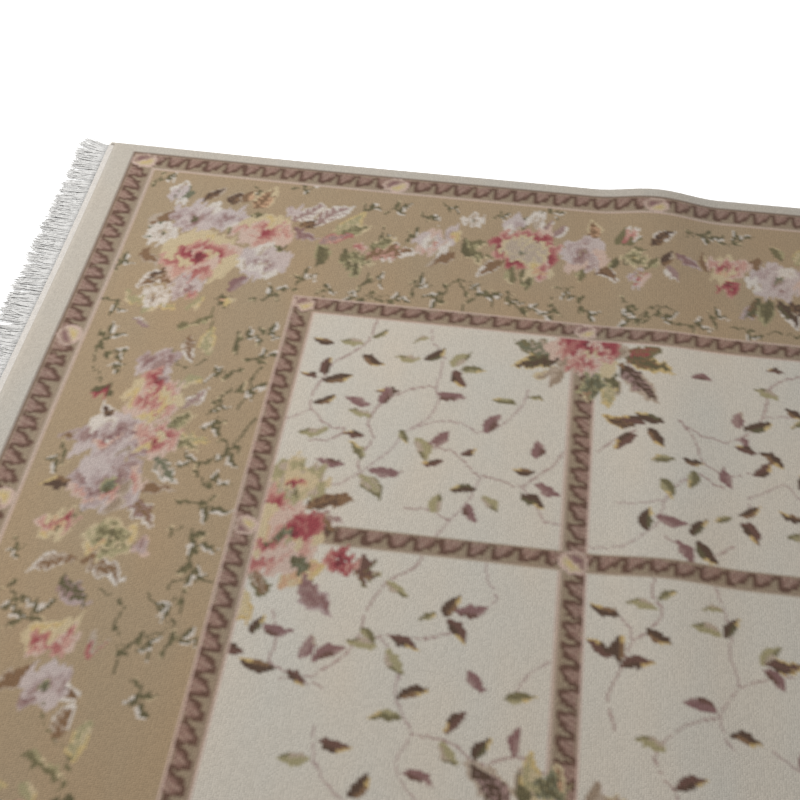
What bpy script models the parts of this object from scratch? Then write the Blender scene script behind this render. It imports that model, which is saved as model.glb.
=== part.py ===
"""Hand-knotted rug lying on a floor, with a soft ripple across it and a fringe at each end.

Metres, +Z up. +X runs along the rug's length, +Y across it, and the floor is z = 0.
The origin is the middle of the whole rug, fringes included, at floor level.
"""

import math
import random

import bmesh
import bpy

# The cloth, pile and foundation together
CLOTH_LENGTH = 2.743
CLOTH_WIDTH = 1.829
PILE_TOP = 0.011
KILIM_WIDTH = 0.010
KILIM_TOP = 0.004

# How the top falls away at the edges: inset from the edge, height of the top there
END_PROFILE = (
    (0.0, KILIM_TOP),
    (KILIM_WIDTH, KILIM_TOP),
    (KILIM_WIDTH + 0.003, 0.0090),
    (KILIM_WIDTH + 0.010, PILE_TOP),
)
SIDE_PROFILE = (
    (0.0, 0.0060),
    (0.003, 0.0092),
    (0.010, PILE_TOP),
)

# Slow unevenness of the outline
SIDE_WAVER = 0.0025
END_BOW = 0.0030

# The ripple across the rug: distance in from the far side, distance of the
# crest from the left end, height of the crest above the flat cloth
RIPPLE_FOOT = 0.115
RIPPLE_ROWS = (
    (0.00, 1.020, 0.0130),
    (0.40, 1.030, 0.0045),
    (0.88, 1.035, 0.0080),
    (1.36, 1.050, 0.0030),
    (CLOTH_WIDTH, 1.060, 0.0),
)

# Spacing of the cloth's faces
COARSE_STEP = 0.16
RIPPLE_STEPS = 12
CROSS_STEPS = 17

# The fringe at each end: warp ends lying flat on the floor, held by a narrow strip
STRANDS = 140
FRINGE_LENGTH = 0.063
STRIP_WIDTH = 0.005
STRIP_GAP = 0.0003
STRIP_TOP = 0.0040
ROW_MARGIN = 0.004
ROOT_HALF_WIDTH = 0.0036
MIDDLE_HALF_WIDTH = 0.0033
TIP_HALF_WIDTH = 0.0016
MIDDLE_TOP = 0.0034
TIP_TOP = 0.0018
SHORTEST_STRAND = 0.86
LEAN = 0.0045
LEAN_NOISE = 0.0014
CORNER_SPLAY = 0.020
CORNER_REACH = 0.040
FRINGE_SEED = 41

CLOTH_COLOUR = (0.44, 0.36, 0.28, 1.0)
FRINGE_COLOUR = (0.60, 0.57, 0.53, 1.0)
CLOTH_ROUGHNESS = 0.95
FRINGE_ROUGHNESS = 0.85


def clear_scene():
    """Take away whatever the file holds."""
    for item in list(bpy.data.objects):
        bpy.data.objects.remove(item, do_unlink=True)


def ease(t):
    """Go smoothly from 0 to 1 as t does."""
    return 0.5 - 0.5 * math.cos(math.pi * t)


def along_table(value, table, column):
    """Read one column of a table at a value of its first column, smoothly."""
    for low, high in zip(table, table[1:]):
        if value <= high[0]:
            share = max(0.0, (value - low[0]) / (high[0] - low[0]))
            return low[column] + (high[column] - low[column]) * ease(share)
    return table[-1][column]


def profile_height(inset, profile):
    """Height of the top at an inset from the edge, in straight steps."""
    for low, high in zip(profile, profile[1:]):
        if inset <= high[0]:
            share = (inset - low[0]) / (high[0] - low[0])
            return low[1] + (high[1] - low[1]) * share
    return profile[-1][1]


def side_waver(x):
    """How far the long sides stand out from straight, at x along the rug."""
    turn = 2.0 * math.pi * x / CLOTH_LENGTH
    return SIDE_WAVER * (0.6 * math.sin(1.5 * turn + 0.7) + 0.4 * math.sin(3.4 * turn))


def end_bow(y):
    """How far the ends stand out from straight, at y across the rug."""
    turn = 2.0 * math.pi * y / CLOTH_WIDTH
    return END_BOW * (0.7 * math.cos(0.8 * turn + 0.5) + 0.3 * math.sin(2.3 * turn))


def ripple_lift(x, y):
    """How far the ripple lifts the cloth off the floor at (x, y)."""
    inset = min(max(CLOTH_WIDTH / 2.0 - y, 0.0), CLOTH_WIDTH)
    crest = along_table(inset, RIPPLE_ROWS, 1) - CLOTH_LENGTH / 2.0
    height = along_table(inset, RIPPLE_ROWS, 2)
    offset = abs(x - crest) / RIPPLE_FOOT
    return height * ease(1.0 - offset) if offset < 1.0 else 0.0


def even_steps(low, high, step):
    """Values from low up to but not including high, in equal steps of about the given size."""
    count = max(1, round((high - low) / step))
    return [low + (high - low) * k / count for k in range(count)]


def length_stations():
    """Places along the rug where its faces begin: close at the ends and over the ripple."""
    insets = [inset for inset, _ in END_PROFILE]
    half = CLOTH_LENGTH / 2.0
    crests = [row[1] - half for row in RIPPLE_ROWS]
    ripple_start = min(crests) - RIPPLE_FOOT
    ripple_end = max(crests) + RIPPLE_FOOT
    stations = [-half + inset for inset in insets[:-1]]
    stations += even_steps(-half + insets[-1], ripple_start, COARSE_STEP)
    stations += even_steps(ripple_start, ripple_end, (ripple_end - ripple_start) / RIPPLE_STEPS)
    stations += even_steps(ripple_end, half - insets[-1], COARSE_STEP)
    stations += [half - inset for inset in reversed(insets)]
    return stations


def width_stations():
    """Places across the rug where its faces begin."""
    insets = [inset for inset, _ in SIDE_PROFILE]
    half = CLOTH_WIDTH / 2.0
    inner = half - insets[-1]
    stations = [-half + inset for inset in insets[:-1]]
    stations += even_steps(-inner, inner, 2.0 * inner / CROSS_STEPS)
    stations += [half - inset for inset in reversed(insets)]
    return stations


def cloth_point(x, y, on_top):
    """One point of the cloth's top or underside, with the uneven outline and the ripple."""
    end_inset = CLOTH_LENGTH / 2.0 - abs(x)
    side_inset = CLOTH_WIDTH / 2.0 - abs(y)
    top = min(profile_height(end_inset, END_PROFILE), profile_height(side_inset, SIDE_PROFILE))
    height = ripple_lift(x, y) + (top if on_top else 0.0)
    moved_x = x + end_bow(y) * x / (CLOTH_LENGTH / 2.0)
    moved_y = y + side_waver(x) * y / (CLOTH_WIDTH / 2.0)
    return (moved_x, moved_y, height)


def finish_object(name, mesh_builder, colour, roughness):
    """Turn a bmesh into a named object with a material of its own."""
    bmesh.ops.recalc_face_normals(mesh_builder, faces=mesh_builder.faces[:])
    mesh = bpy.data.meshes.new(name)
    mesh_builder.to_mesh(mesh)
    mesh_builder.free()
    material = bpy.data.materials.new(name)
    material.use_nodes = True
    shader = material.node_tree.nodes["Principled BSDF"]
    shader.inputs["Base Color"].default_value = colour
    shader.inputs["Roughness"].default_value = roughness
    shader.inputs["Metallic"].default_value = 0.0
    mesh.materials.append(material)
    item = bpy.data.objects.new(name, mesh)
    bpy.context.scene.collection.objects.link(item)
    return item


def make_cloth():
    """The knotted cloth: one closed slab with low flat-woven ends and rounded sides."""
    xs = length_stations()
    ys = width_stations()
    builder = bmesh.new()
    layers = []
    for on_top in (False, True):
        layers.append([[builder.verts.new(cloth_point(x, y, on_top)) for y in ys] for x in xs])
    under, top = layers
    last_x = len(xs) - 1
    last_y = len(ys) - 1
    for i in range(last_x):
        for j in range(last_y):
            builder.faces.new((top[i][j], top[i + 1][j], top[i + 1][j + 1], top[i][j + 1]))
            builder.faces.new((under[i][j], under[i][j + 1], under[i + 1][j + 1], under[i + 1][j]))
    for i in range(last_x):
        for j in (0, last_y):
            builder.faces.new((under[i][j], under[i + 1][j], top[i + 1][j], top[i][j]))
    for j in range(last_y):
        for i in (0, last_x):
            builder.faces.new((under[i][j], under[i][j + 1], top[i][j + 1], top[i][j]))
    return finish_object("knotted_cloth", builder, CLOTH_COLOUR, CLOTH_ROUGHNESS)


def strand_leans(chance):
    """How far each strand's tip lies to the side of its root; the corner ones splay outwards."""
    row_half = CLOTH_WIDTH / 2.0 - ROW_MARGIN
    leans = []
    for k in range(STRANDS):
        y = -row_half + 2.0 * row_half * (k + 0.5) / STRANDS
        slow = 0.6 * math.sin(21.0 * y + 0.8) + 0.4 * math.sin(47.0 * y)
        splay = CORNER_SPLAY * math.exp(-(row_half - abs(y)) / CORNER_REACH)
        noise = chance.uniform(-LEAN_NOISE, LEAN_NOISE)
        leans.append(LEAN * slow + noise + math.copysign(splay, y))
    return leans


def make_fringe(name, side):
    """One fringe: a narrow strip just off the cloth's end with flat strands growing out of it."""
    chance = random.Random(FRINGE_SEED + side)
    leans = strand_leans(chance)
    lengths = [FRINGE_LENGTH * chance.uniform(SHORTEST_STRAND, 1.0) for _ in range(STRANDS)]
    lengths[STRANDS // 3] = FRINGE_LENGTH
    row_half = CLOTH_WIDTH / 2.0 - ROW_MARGIN
    pitch = 2.0 * row_half / STRANDS
    builder = bmesh.new()

    def pair(out, y, top):
        """A floor point and the top point over it, so far out from the cloth's edge."""
        x = side * (CLOTH_LENGTH / 2.0 + end_bow(y) + out)
        return (builder.verts.new((x, y, 0.0)), builder.verts.new((x, y, top)))

    def box_ring(a, b, c, d):
        """Top and floor faces over the plan a, b, c, d, which are pairs."""
        builder.faces.new((a[1], b[1], c[1], d[1]))
        builder.faces.new((a[0], d[0], c[0], b[0]))

    def wall(a, b):
        """An upright face between two pairs."""
        builder.faces.new((a[0], b[0], b[1], a[1]))

    inner_out = STRIP_GAP
    outer_out = STRIP_GAP + STRIP_WIDTH
    stations = [-row_half]
    for k in range(STRANDS):
        middle = -row_half + pitch * (k + 0.5)
        stations += [middle - ROOT_HALF_WIDTH, middle + ROOT_HALF_WIDTH]
    stations.append(row_half)
    inner = [pair(inner_out, y, STRIP_TOP) for y in stations]
    outer = [pair(outer_out, y, STRIP_TOP) for y in stations]
    wall(inner[0], outer[0])
    wall(inner[-1], outer[-1])
    for n in range(len(stations) - 1):
        box_ring(inner[n], outer[n], outer[n + 1], inner[n + 1])
        wall(inner[n], inner[n + 1])
        grows_here = n % 2 == 1
        if not grows_here:
            wall(outer[n], outer[n + 1])
            continue
        k = n // 2
        root_y = -row_half + pitch * (k + 0.5)
        low, high = outer[n], outer[n + 1]
        for share, half_width, top in (
            (0.5, MIDDLE_HALF_WIDTH, MIDDLE_TOP),
            (1.0, TIP_HALF_WIDTH, TIP_TOP),
        ):
            out = outer_out + (lengths[k] - STRIP_WIDTH) * share
            y = root_y + leans[k] * share ** 1.5
            next_low = pair(out, y - half_width, top)
            next_high = pair(out, y + half_width, top)
            box_ring(low, next_low, next_high, high)
            wall(low, next_low)
            wall(high, next_high)
            low, high = next_low, next_high
        wall(low, high)
    return finish_object(name, builder, FRINGE_COLOUR, FRINGE_ROUGHNESS)


def centre_over_origin(items):
    """Move the meshes together so that the whole rug is centred on the origin."""
    corners = [vertex.co for item in items for vertex in item.data.vertices]
    shift_x = (min(c.x for c in corners) + max(c.x for c in corners)) / 2.0
    shift_y = (min(c.y for c in corners) + max(c.y for c in corners)) / 2.0
    for item in items:
        for vertex in item.data.vertices:
            vertex.co.x -= shift_x
            vertex.co.y -= shift_y


clear_scene()
cloth = make_cloth()
fringe_left = make_fringe("fringe_left", -1)
fringe_right = make_fringe("fringe_right", 1)
centre_over_origin([cloth, fringe_left, fringe_right])
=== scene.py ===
import math

import bpy
import numpy as np
from mathutils import Matrix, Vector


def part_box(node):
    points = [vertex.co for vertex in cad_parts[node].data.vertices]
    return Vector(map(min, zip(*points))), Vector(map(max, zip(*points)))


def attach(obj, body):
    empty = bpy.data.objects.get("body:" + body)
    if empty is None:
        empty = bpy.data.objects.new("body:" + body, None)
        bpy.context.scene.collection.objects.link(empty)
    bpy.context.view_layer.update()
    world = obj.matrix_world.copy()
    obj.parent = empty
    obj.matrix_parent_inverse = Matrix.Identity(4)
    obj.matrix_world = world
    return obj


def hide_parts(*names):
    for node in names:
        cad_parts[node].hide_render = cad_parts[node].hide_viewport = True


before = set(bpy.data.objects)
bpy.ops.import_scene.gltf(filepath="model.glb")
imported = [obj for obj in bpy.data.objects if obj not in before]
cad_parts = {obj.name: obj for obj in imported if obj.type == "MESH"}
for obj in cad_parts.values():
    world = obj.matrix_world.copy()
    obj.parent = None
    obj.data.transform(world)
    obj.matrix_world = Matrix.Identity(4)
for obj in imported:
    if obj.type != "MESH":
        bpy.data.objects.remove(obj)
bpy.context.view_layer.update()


# The lie of the cloth
# A wool rug of this weight lies flat but for one soft ripple across it. Its long sides waver by
# a few millimetres, as they do where the weaver's tension changed, and its ends bow a little.
CLOTH_LENGTH = 2.743
CLOTH_WIDTH = 1.829
SIDE_WAVER = 0.0025
END_BOW = 0.0030
RIPPLE_FOOT = 0.115
RIPPLE_INSETS = (0.00, 0.40, 0.88, 1.36, CLOTH_WIDTH)
RIPPLE_CRESTS = (1.020, 1.030, 1.035, 1.050, 1.060)
RIPPLE_HEIGHTS = (0.0130, 0.0045, 0.0080, 0.0030, 0.0)
cloth_low, cloth_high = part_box("knotted_cloth")
SHIFT_X = (cloth_low[0] + cloth_high[0]) / 2.0
SHIFT_Y = (cloth_low[1] + cloth_high[1]) / 2.0


def ease(t):
    """Go smoothly from 0 to 1 as t does."""
    return 0.5 - 0.5 * np.cos(np.pi * np.clip(t, 0.0, 1.0))


def along_rows(inset, values):
    """Read a value of the ripple at an inset from the far side, smoothly between its rows."""
    result = np.full(np.shape(inset), float(values[0]))
    steps = zip(RIPPLE_INSETS, RIPPLE_INSETS[1:], values, values[1:])
    for start, end, low, high in steps:
        result = result + (high - low) * ease((inset - start) / (end - start))
    return result


def lift(x, y):
    """Height of the ripple over the floor at x, y of the straight cloth."""
    inset = np.clip(CLOTH_WIDTH / 2.0 - y, 0.0, CLOTH_WIDTH)
    crest = along_rows(inset, RIPPLE_CRESTS) - CLOTH_LENGTH / 2.0
    return along_rows(inset, RIPPLE_HEIGHTS) * ease(1.0 - np.abs(x - crest) / RIPPLE_FOOT)


def laid(x, y, height):
    """Where a point of the straight cloth comes to lie, height above its underside."""
    x, y, height = np.broadcast_arrays(np.asarray(x, float), np.asarray(y, float), height)
    turn_x = 2.0 * np.pi * x / CLOTH_LENGTH
    turn_y = 2.0 * np.pi * y / CLOTH_WIDTH
    waver = SIDE_WAVER * (0.6 * np.sin(1.5 * turn_x + 0.7) + 0.4 * np.sin(3.4 * turn_x))
    bow = END_BOW * (0.7 * np.cos(0.8 * turn_y + 0.5) + 0.3 * np.sin(2.3 * turn_y))
    moved_x = x + bow * x / (CLOTH_LENGTH / 2.0) + SHIFT_X
    moved_y = y + waver * y / (CLOTH_WIDTH / 2.0) + SHIFT_Y
    return np.stack([moved_x, moved_y, height + lift(x, y)], axis=-1)


# The dyed wools
# The pile is knotted from soft old-rose, plum, brown, olive and gold wools on a tan border
# and ivory panels. Each colour here is the wool as it looks under the studio's light.
WOOLS = {
    "tan": (159, 139, 113),
    "ivory": (196, 189, 178),
    "edge": (184, 177, 167),
    "white": (198, 189, 180),
    "cream": (187, 170, 139),
    "yellow": (187, 165, 118),
    "gold": (183, 157, 107),
    "peach": (185, 150, 121),
    "pale_pink": (189, 165, 152),
    "pink": (181, 141, 129),
    "rose": (161, 103, 98),
    "crimson": (143, 68, 73),
    "garnet": (113, 53, 57),
    "lilac": (167, 149, 146),
    "pale_lilac": (182, 168, 164),
    "mauve": (147, 122, 117),
    "plum": (128, 97, 95),
    "maroon": (103, 76, 67),
    "brown": (86, 67, 55),
    "chestnut": (124, 97, 73),
    "taupe": (146, 128, 110),
    "stone": (169, 153, 137),
    "olive": (112, 104, 76),
    "pale_olive": (154, 145, 112),
    "moss": (95, 88, 64),
    "grey_green": (108, 107, 87),
    "stalk": (158, 136, 130),
    "pale_stalk": (169, 152, 146),
    "shell": (133, 104, 94),
    "shell_rib": (154, 130, 117),
    "shell_edge": (98, 73, 61),
    "shell_gap": (145, 129, 109),
    "line": (190, 167, 156),
}
WOOL_NAMES = list(WOOLS)
WOOL_NUMBER = {name: number for number, name in enumerate(WOOL_NAMES)}
LIGHT_ON_WOOL = 1.26


def linear(colour):
    """A colour of 0 to 255 as it looks, as the light it sends back."""
    share = np.asarray(colour, float) / 255.0
    return np.where(share <= 0.04045, share / 12.92, ((share + 0.055) / 1.055) ** 2.4)


wool_colours = np.ones((len(WOOLS), 4))
for number, name in enumerate(WOOL_NAMES):
    wool_colours[number, :3] = linear(WOOLS[name]) / LIGHT_ON_WOOL


# The cartoon
# A weaver knots from a cartoon, a squared drawing with one square to a knot. Everything in it
# is in centimetres: along from the left end, across from the far side; a heading of 0 degrees
# points along and 90 points across, towards the near side.
LENGTH = CLOTH_LENGTH * 100.0
WIDTH = CLOTH_WIDTH * 100.0
KNOTS_ALONG = 864
KNOTS_ACROSS = 576
END_BARE = 1.0
SIDE_BARE = 0.5
KNOT_ALONG = (LENGTH - 2.0 * END_BARE) / KNOTS_ALONG
KNOT_ACROSS = (WIDTH - 2.0 * SIDE_BARE) / KNOTS_ACROSS
knot_along = END_BARE + KNOT_ALONG * (np.arange(KNOTS_ALONG) + 0.5)
knot_across = SIDE_BARE + KNOT_ACROSS * (np.arange(KNOTS_ACROSS) + 0.5)
chart = np.full((KNOTS_ACROSS, KNOTS_ALONG), WOOL_NUMBER["edge"], dtype=np.uint8)


def uneven_knots(seed, along_knots, across_knots, lean):
    """A smooth chance drift over the chart, wide by so many knots along a lean and so many beside it."""
    chance = np.random.default_rng(seed)
    turns_a = np.fft.fftfreq(KNOTS_ALONG)[None, :]
    turns_b = np.fft.fftfreq(KNOTS_ACROSS)[:, None]
    forth = turns_a * math.cos(lean) + turns_b * math.sin(lean)
    aside = turns_b * math.cos(lean) - turns_a * math.sin(lean)
    kept = np.exp(-2.0 * np.pi ** 2 * ((along_knots * forth) ** 2 + (across_knots * aside) ** 2))
    noise = np.fft.ifft2(np.fft.fft2(chance.normal(0.0, 1.0, chart.shape)) * kept).real
    return noise / noise.std()


# The shading runs in short streaks that lean across the rug, and no outline is quite even:
# most uneven in the shaded flowers, less in twigs and broad leaves, least in the panels' leaves
STREAK_LEAN = math.radians(-72.0)
STREAK_REACH = 0.42
SWAY_REACH = 0.22
SHADED = 1.55
LEAFY = 0.8
CRISP = 0.35
BROAD_LEAF = 2.3
TWIG_LEAF = ("moss", "olive", "cream")
TWIG_BUD = ("moss", "white", "white")
TWIG_STALK = ((-0.5, 0.1), (-0.2, -0.08), (0.15, 0.0), (0.4, -0.1))
TWIG_LEAVES = (
    (-0.15, -0.05, -52.0, 0.52, 0.22, TWIG_LEAF, 0.14),
    (0.05, 0.0, 58.0, 0.56, 0.24, TWIG_BUD, -0.14),
    (-0.30, 0.02, 150.0, 0.40, 0.18, TWIG_LEAF, 0.10),
    (0.22, -0.04, -20.0, 0.60, 0.26, TWIG_BUD, 0.10),
)
streak = uneven_knots(5, 4.5, 0.62, STREAK_LEAN)
drift_along = STREAK_REACH * math.cos(STREAK_LEAN) * streak + SWAY_REACH * uneven_knots(6, 5.0, 5.0, 0.0)
drift_across = STREAK_REACH * math.sin(STREAK_LEAN) * streak + SWAY_REACH * uneven_knots(7, 5.0, 5.0, 0.0)


def step_off(x, y, heading, distance):
    """The point at a distance from x, y along a heading."""
    return x + distance * math.cos(math.radians(heading)), y + distance * math.sin(math.radians(heading))


class Cartoon:
    """A pen on the cartoon, with its own origin, turn and flip, so that a motif can be repeated.

    within is the area that it keeps to, and rough is how uneven its outlines are.
    """

    def __init__(self, along=0.0, across=0.0, turn=0.0, flip=1.0, within=None, rough=1.0):
        self.along = along
        self.across = across
        self.turn = turn
        self.flip = flip
        self.within = within
        self.rough = rough

    def place(self, x, y):
        """Where a point of the motif lies on the cloth."""
        angle = math.radians(self.turn)
        y = y * self.flip
        return (
            self.along + x * math.cos(angle) - y * math.sin(angle),
            self.across + x * math.sin(angle) + y * math.cos(angle),
        )

    def moved(self, x, y, turn=0.0, flip=1.0):
        """The same pen moved to another place of the motif."""
        along, across = self.place(x, y)
        turned = self.turn + turn * self.flip
        return Cartoon(along, across, turned, self.flip * flip, self.within, self.rough)

    def knots(self, x, y, heading, reach):
        """The knots around a point: their part of the chart, and how far along and beside the heading."""
        along, across = self.place(x, y)
        angle = math.radians(self.turn + heading * self.flip)
        i0 = max(0, int((along - reach - END_BARE) / KNOT_ALONG))
        i1 = min(KNOTS_ALONG, int((along + reach - END_BARE) / KNOT_ALONG) + 2)
        j0 = max(0, int((across - reach - SIDE_BARE) / KNOT_ACROSS))
        j1 = min(KNOTS_ACROSS, int((across + reach - SIDE_BARE) / KNOT_ACROSS) + 2)
        if i1 <= i0 or j1 <= j0:
            empty = np.zeros((0, 0))
            return chart[0:0, 0:0], empty, empty
        part = chart[j0:j1, i0:i1]
        a = knot_along[i0:i1][None, :] - along + self.rough * drift_along[j0:j1, i0:i1]
        b = knot_across[j0:j1][:, None] - across + self.rough * drift_across[j0:j1, i0:i1]
        ahead = a * math.cos(angle) + b * math.sin(angle)
        beside = (b * math.cos(angle) - a * math.sin(angle)) * self.flip
        if self.within is not None:
            low_a, low_b, high_a, high_b = self.within
            inside = (knot_along[i0:i1][None, :] > low_a) & (knot_along[i0:i1][None, :] < high_a)
            inside = inside & (knot_across[j0:j1][:, None] > low_b) & (knot_across[j0:j1][:, None] < high_b)
            ahead = np.where(inside, ahead, 1.0e6)
        return part, ahead, beside

    def fill(self, part, mask, wool):
        """Knot the masked knots of a part in one wool."""
        part[mask] = WOOL_NUMBER[wool]

    def oval(self, x, y, heading, length, width, wools):
        """A round petal about its middle: rim, body and shaded base."""
        rim, body, shade = wools
        part, ahead, beside = self.knots(x, y, heading, length)
        s = ahead / (length / 2.0)
        t = beside / (width / 2.0)
        radius = np.hypot(s, t)
        self.fill(part, radius < 1.0, rim)
        self.fill(part, np.hypot(s + 0.16, t) < 0.80, body)
        self.fill(part, np.hypot(s + 0.50, t * 1.15) < 0.52, shade)

    def leaf(self, x, y, heading, length, width, wools, bend=0.0):
        """A pointed leaf from its stalk outwards: a dark half, a light half, a rib and a dyed tip."""
        dark, light, tip = wools
        part, ahead, beside = self.knots(x, y, heading, length * 1.15)
        s = ahead / length
        inside = (s > 0.0) & (s < 1.0)
        s = np.clip(s, 0.0, 1.0)
        middle = bend * length * 4.0 * s * (1.0 - s)
        t = (beside - middle) / (width / 2.0)
        half = np.sin(np.pi * s ** 0.85) ** 0.9
        leafy = inside & (np.abs(t) < half)
        self.fill(part, leafy, dark)
        self.fill(part, leafy & (t > 0.20) & (s > 0.15), light)
        self.fill(part, leafy & (s > 0.60) & (t > 0.9 - s), tip)
        if width > BROAD_LEAF:
            vein = np.mod(s * 6.0 - np.abs(t) * 1.2, 1.0) < 0.34
            self.fill(part, leafy & vein & (t < -0.15) & (s < 0.75), light)
            self.fill(part, leafy & vein & (t > 0.30) & (s < 0.75), dark)
            self.fill(part, leafy & (np.abs(t) > half - 0.22) & (s > 0.3), tip)

    def stem(self, points, wool, width=0.30):
        """A thin stem on a smooth curve through its points."""
        knots = np.array([points[0]] + list(points) + [points[-1]], float)
        t = np.linspace(0.0, 1.0, 24)[:, None]
        for p0, p1, p2, p3 in zip(knots, knots[1:], knots[2:], knots[3:]):
            curve = 0.5 * (
                2.0 * p1 + (p2 - p0) * t + (2.0 * p0 - 5.0 * p1 + 4.0 * p2 - p3) * t ** 2
                + (3.0 * p1 - p0 - 3.0 * p2 + p3) * t ** 3
            )
            for x, y in curve:
                part, ahead, beside = self.knots(x, y, 0.0, width)
                self.fill(part, (np.abs(ahead) < width / 2.0) & (np.abs(beside) < width / 2.0), wool)

    def leaf_to(self, root, tip, wools, slim, bend=0.07):
        """A leaf from the place of its stalk to the place of its tip."""
        ahead, beside = tip[0] - root[0], tip[1] - root[1]
        length = math.hypot(ahead, beside)
        heading = math.degrees(math.atan2(beside, ahead))
        self.leaf(root[0], root[1], heading, length, length * slim, wools, bend)

    def ring(self, x, y, radius, size, petals, turn=0.0):
        """A ring of petals about a point, each in its own wools, the first at the heading given."""
        width = max(size, 2.0 * math.pi * radius / len(petals) * 1.1)
        for k, wools in enumerate(petals):
            heading = turn + 360.0 * k / len(petals)
            self.oval(*step_off(x, y, heading, radius), heading, size, width, wools)

    def blossom(self, x, y, radius, outer, inner, heart, turn=-90.0):
        """A full flower: an outer ring of petals, an inner ring and a heart."""
        self.ring(x, y, radius * 0.64, radius * 0.80, outer, turn)
        self.ring(x, y, radius * 0.34, radius * 0.58, inner, turn + 28.0)
        self.oval(x, y, turn, radius * 0.46, radius * 0.38, heart)

    def star(self, x, y, radius, petal, eye, count=6, turn=-90.0):
        """An open flower: one ring of long petals with veins about a small eye."""
        for k in range(count):
            heading = turn + 360.0 * k / count
            middle = step_off(x, y, heading, radius * 0.56)
            self.oval(*middle, heading, radius * 0.92, radius * 0.74, petal)
            part, ahead, beside = self.knots(x, y, heading, radius)
            vein = (np.abs(beside) < 0.15) & (ahead > radius * 0.22) & (ahead < radius * 0.70)
            self.fill(part, vein, petal[2])
        self.oval(x, y, turn, radius * 0.42, radius * 0.36, eye)

    def bud(self, x, y, heading, size, wools, cup):
        """A closed bud held by two narrow leaves."""
        foot = step_off(x, y, heading, -0.55 * size)
        self.oval(x, y, heading, size, size * 0.8, wools)
        for side in (-1.0, 1.0):
            turned = heading + side * 26.0
            self.leaf(*foot, turned, size * 0.95, size * 0.28, (cup,) * 3, 0.08 * side)

    def twig(self, x, y, heading, size, flip=1.0):
        """A small dark twig with narrow leaves and white buds."""
        pen = self.moved(x, y, heading, flip)
        pen.stem([(a * size, b * size) for a, b in TWIG_STALK], "moss")
        for a, b, turned, length, width, wools, bend in TWIG_LEAVES:
            pen.leaf(a * size, b * size, turned, length * size, width * size, wools, bend)


# The ground of the cartoon
# A plain pale edge, an outer guard stripe, a wide tan border, an inner guard stripe, and a
# field of ivory panels, four along and two across, parted by narrow divider stripes.
END_EDGE = 5.4
SIDE_EDGE = 3.1
OUTER_GUARD = 5.0
TAN_BORDER = 31.3
INNER_GUARD = 4.0
DIVIDER = 4.0
PANELS_ALONG = 4
PANELS_ACROSS = 2
SHELL_PITCH = 3.65
SHELL_BAND = (0.10, 0.80)
SHELL_SLANT = 0.42
SHELL_ROUNDING = 1.35
field_start = END_EDGE + OUTER_GUARD + TAN_BORDER + INNER_GUARD
field_top = SIDE_EDGE + OUTER_GUARD + TAN_BORDER + INNER_GUARD
field_end = LENGTH - field_start
field_bottom = WIDTH - field_top
panel_along = (field_end - field_start - (PANELS_ALONG - 1) * DIVIDER) / PANELS_ALONG
panel_across = (field_bottom - field_top - (PANELS_ACROSS - 1) * DIVIDER) / PANELS_ACROSS
divider_lines_along = [
    field_start + (k + 1) * panel_along + (k + 0.5) * DIVIDER for k in range(PANELS_ALONG - 1)
]
divider_line_across = WIDTH / 2.0


def block(low_a, low_b, high_a, high_b, wool):
    """Fill an upright rectangle of the cartoon with one wool."""
    columns = (knot_along > low_a) & (knot_along < high_a)
    rows = (knot_across > low_b) & (knot_across < high_b)
    chart[np.ix_(rows, columns)] = WOOL_NUMBER[wool]


def shell_stripe(start, line, length, width, turn, breaks, mitred):
    """A guard stripe: lines at its edges, and a row of ribbed shells that hang from the first.

    start and line are where that edge begins and turn is its heading, the stripe lying to the
    right of it. breaks are the middles of the buttons, between which the shells are spaced evenly.
    """
    reach = (length / 2.0, width / 2.0, 0.0, length / 2.0 + width)
    pen = Cartoon(start, line, turn, rough=0.0)
    part, ahead, beside = pen.knots(*reach)
    uneven_ahead, uneven_beside = Cartoon(start, line, turn, rough=CRISP).knots(*reach)[1:]
    ahead = ahead + length / 2.0
    deep = beside + width / 2.0
    inside = (deep >= 0.0) & (deep <= width) & (ahead >= 0.0) & (ahead <= length)
    if mitred:
        inside = inside & (ahead >= deep - 0.01) & (length - ahead >= deep - 0.01)
    stops = [0.0] + sorted(b for b in breaks if 0.0 < b < length) + [length]
    phase = np.zeros(ahead.shape)
    for low, high in zip(stops, stops[1:]):
        count = max(1, round((high - low) / SHELL_PITCH))
        here = (ahead >= low) & (ahead < high)
        turned = (uneven_ahead + length / 2.0 - low) / (high - low) * count
        phase = np.where(here, np.mod(turned, 1.0), phase)
    share = deep / width
    low_edge, high_edge = SHELL_BAND
    depth = (uneven_beside / width + 0.5 - low_edge) / (high_edge - low_edge)
    slant = np.mod(phase + SHELL_SLANT * depth, 1.0)
    shell = 1.04 - np.abs(2.0 * slant - 1.0) ** SHELL_ROUNDING
    row = inside & (depth > 0.0) & (depth < 1.0)
    rib = np.mod(slant * 4.0 + 0.2, 1.0) < 0.45
    pen.fill(part, inside, "taupe")
    pen.fill(part, row & (depth > shell), "shell_gap")
    pen.fill(part, row & (depth < shell + 0.14), "shell_edge")
    pen.fill(part, row & (depth < shell - 0.26), "shell")
    pen.fill(part, row & (depth < shell - 0.32) & rib, "shell_rib")
    pen.fill(part, row & (slant > 0.76) & (slant < 0.95) & (depth < 0.8), "shell_edge")
    pen.fill(part, inside & (share >= high_edge), "taupe")
    pen.fill(part, inside & (share > 0.90), "stone")
    pen.fill(part, inside & (share > 0.94), "line")
    pen.fill(part, inside & (share < low_edge), "taupe")
    pen.fill(part, inside & (share < 0.06), "line" if width < OUTER_GUARD else "shell_edge")


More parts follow.
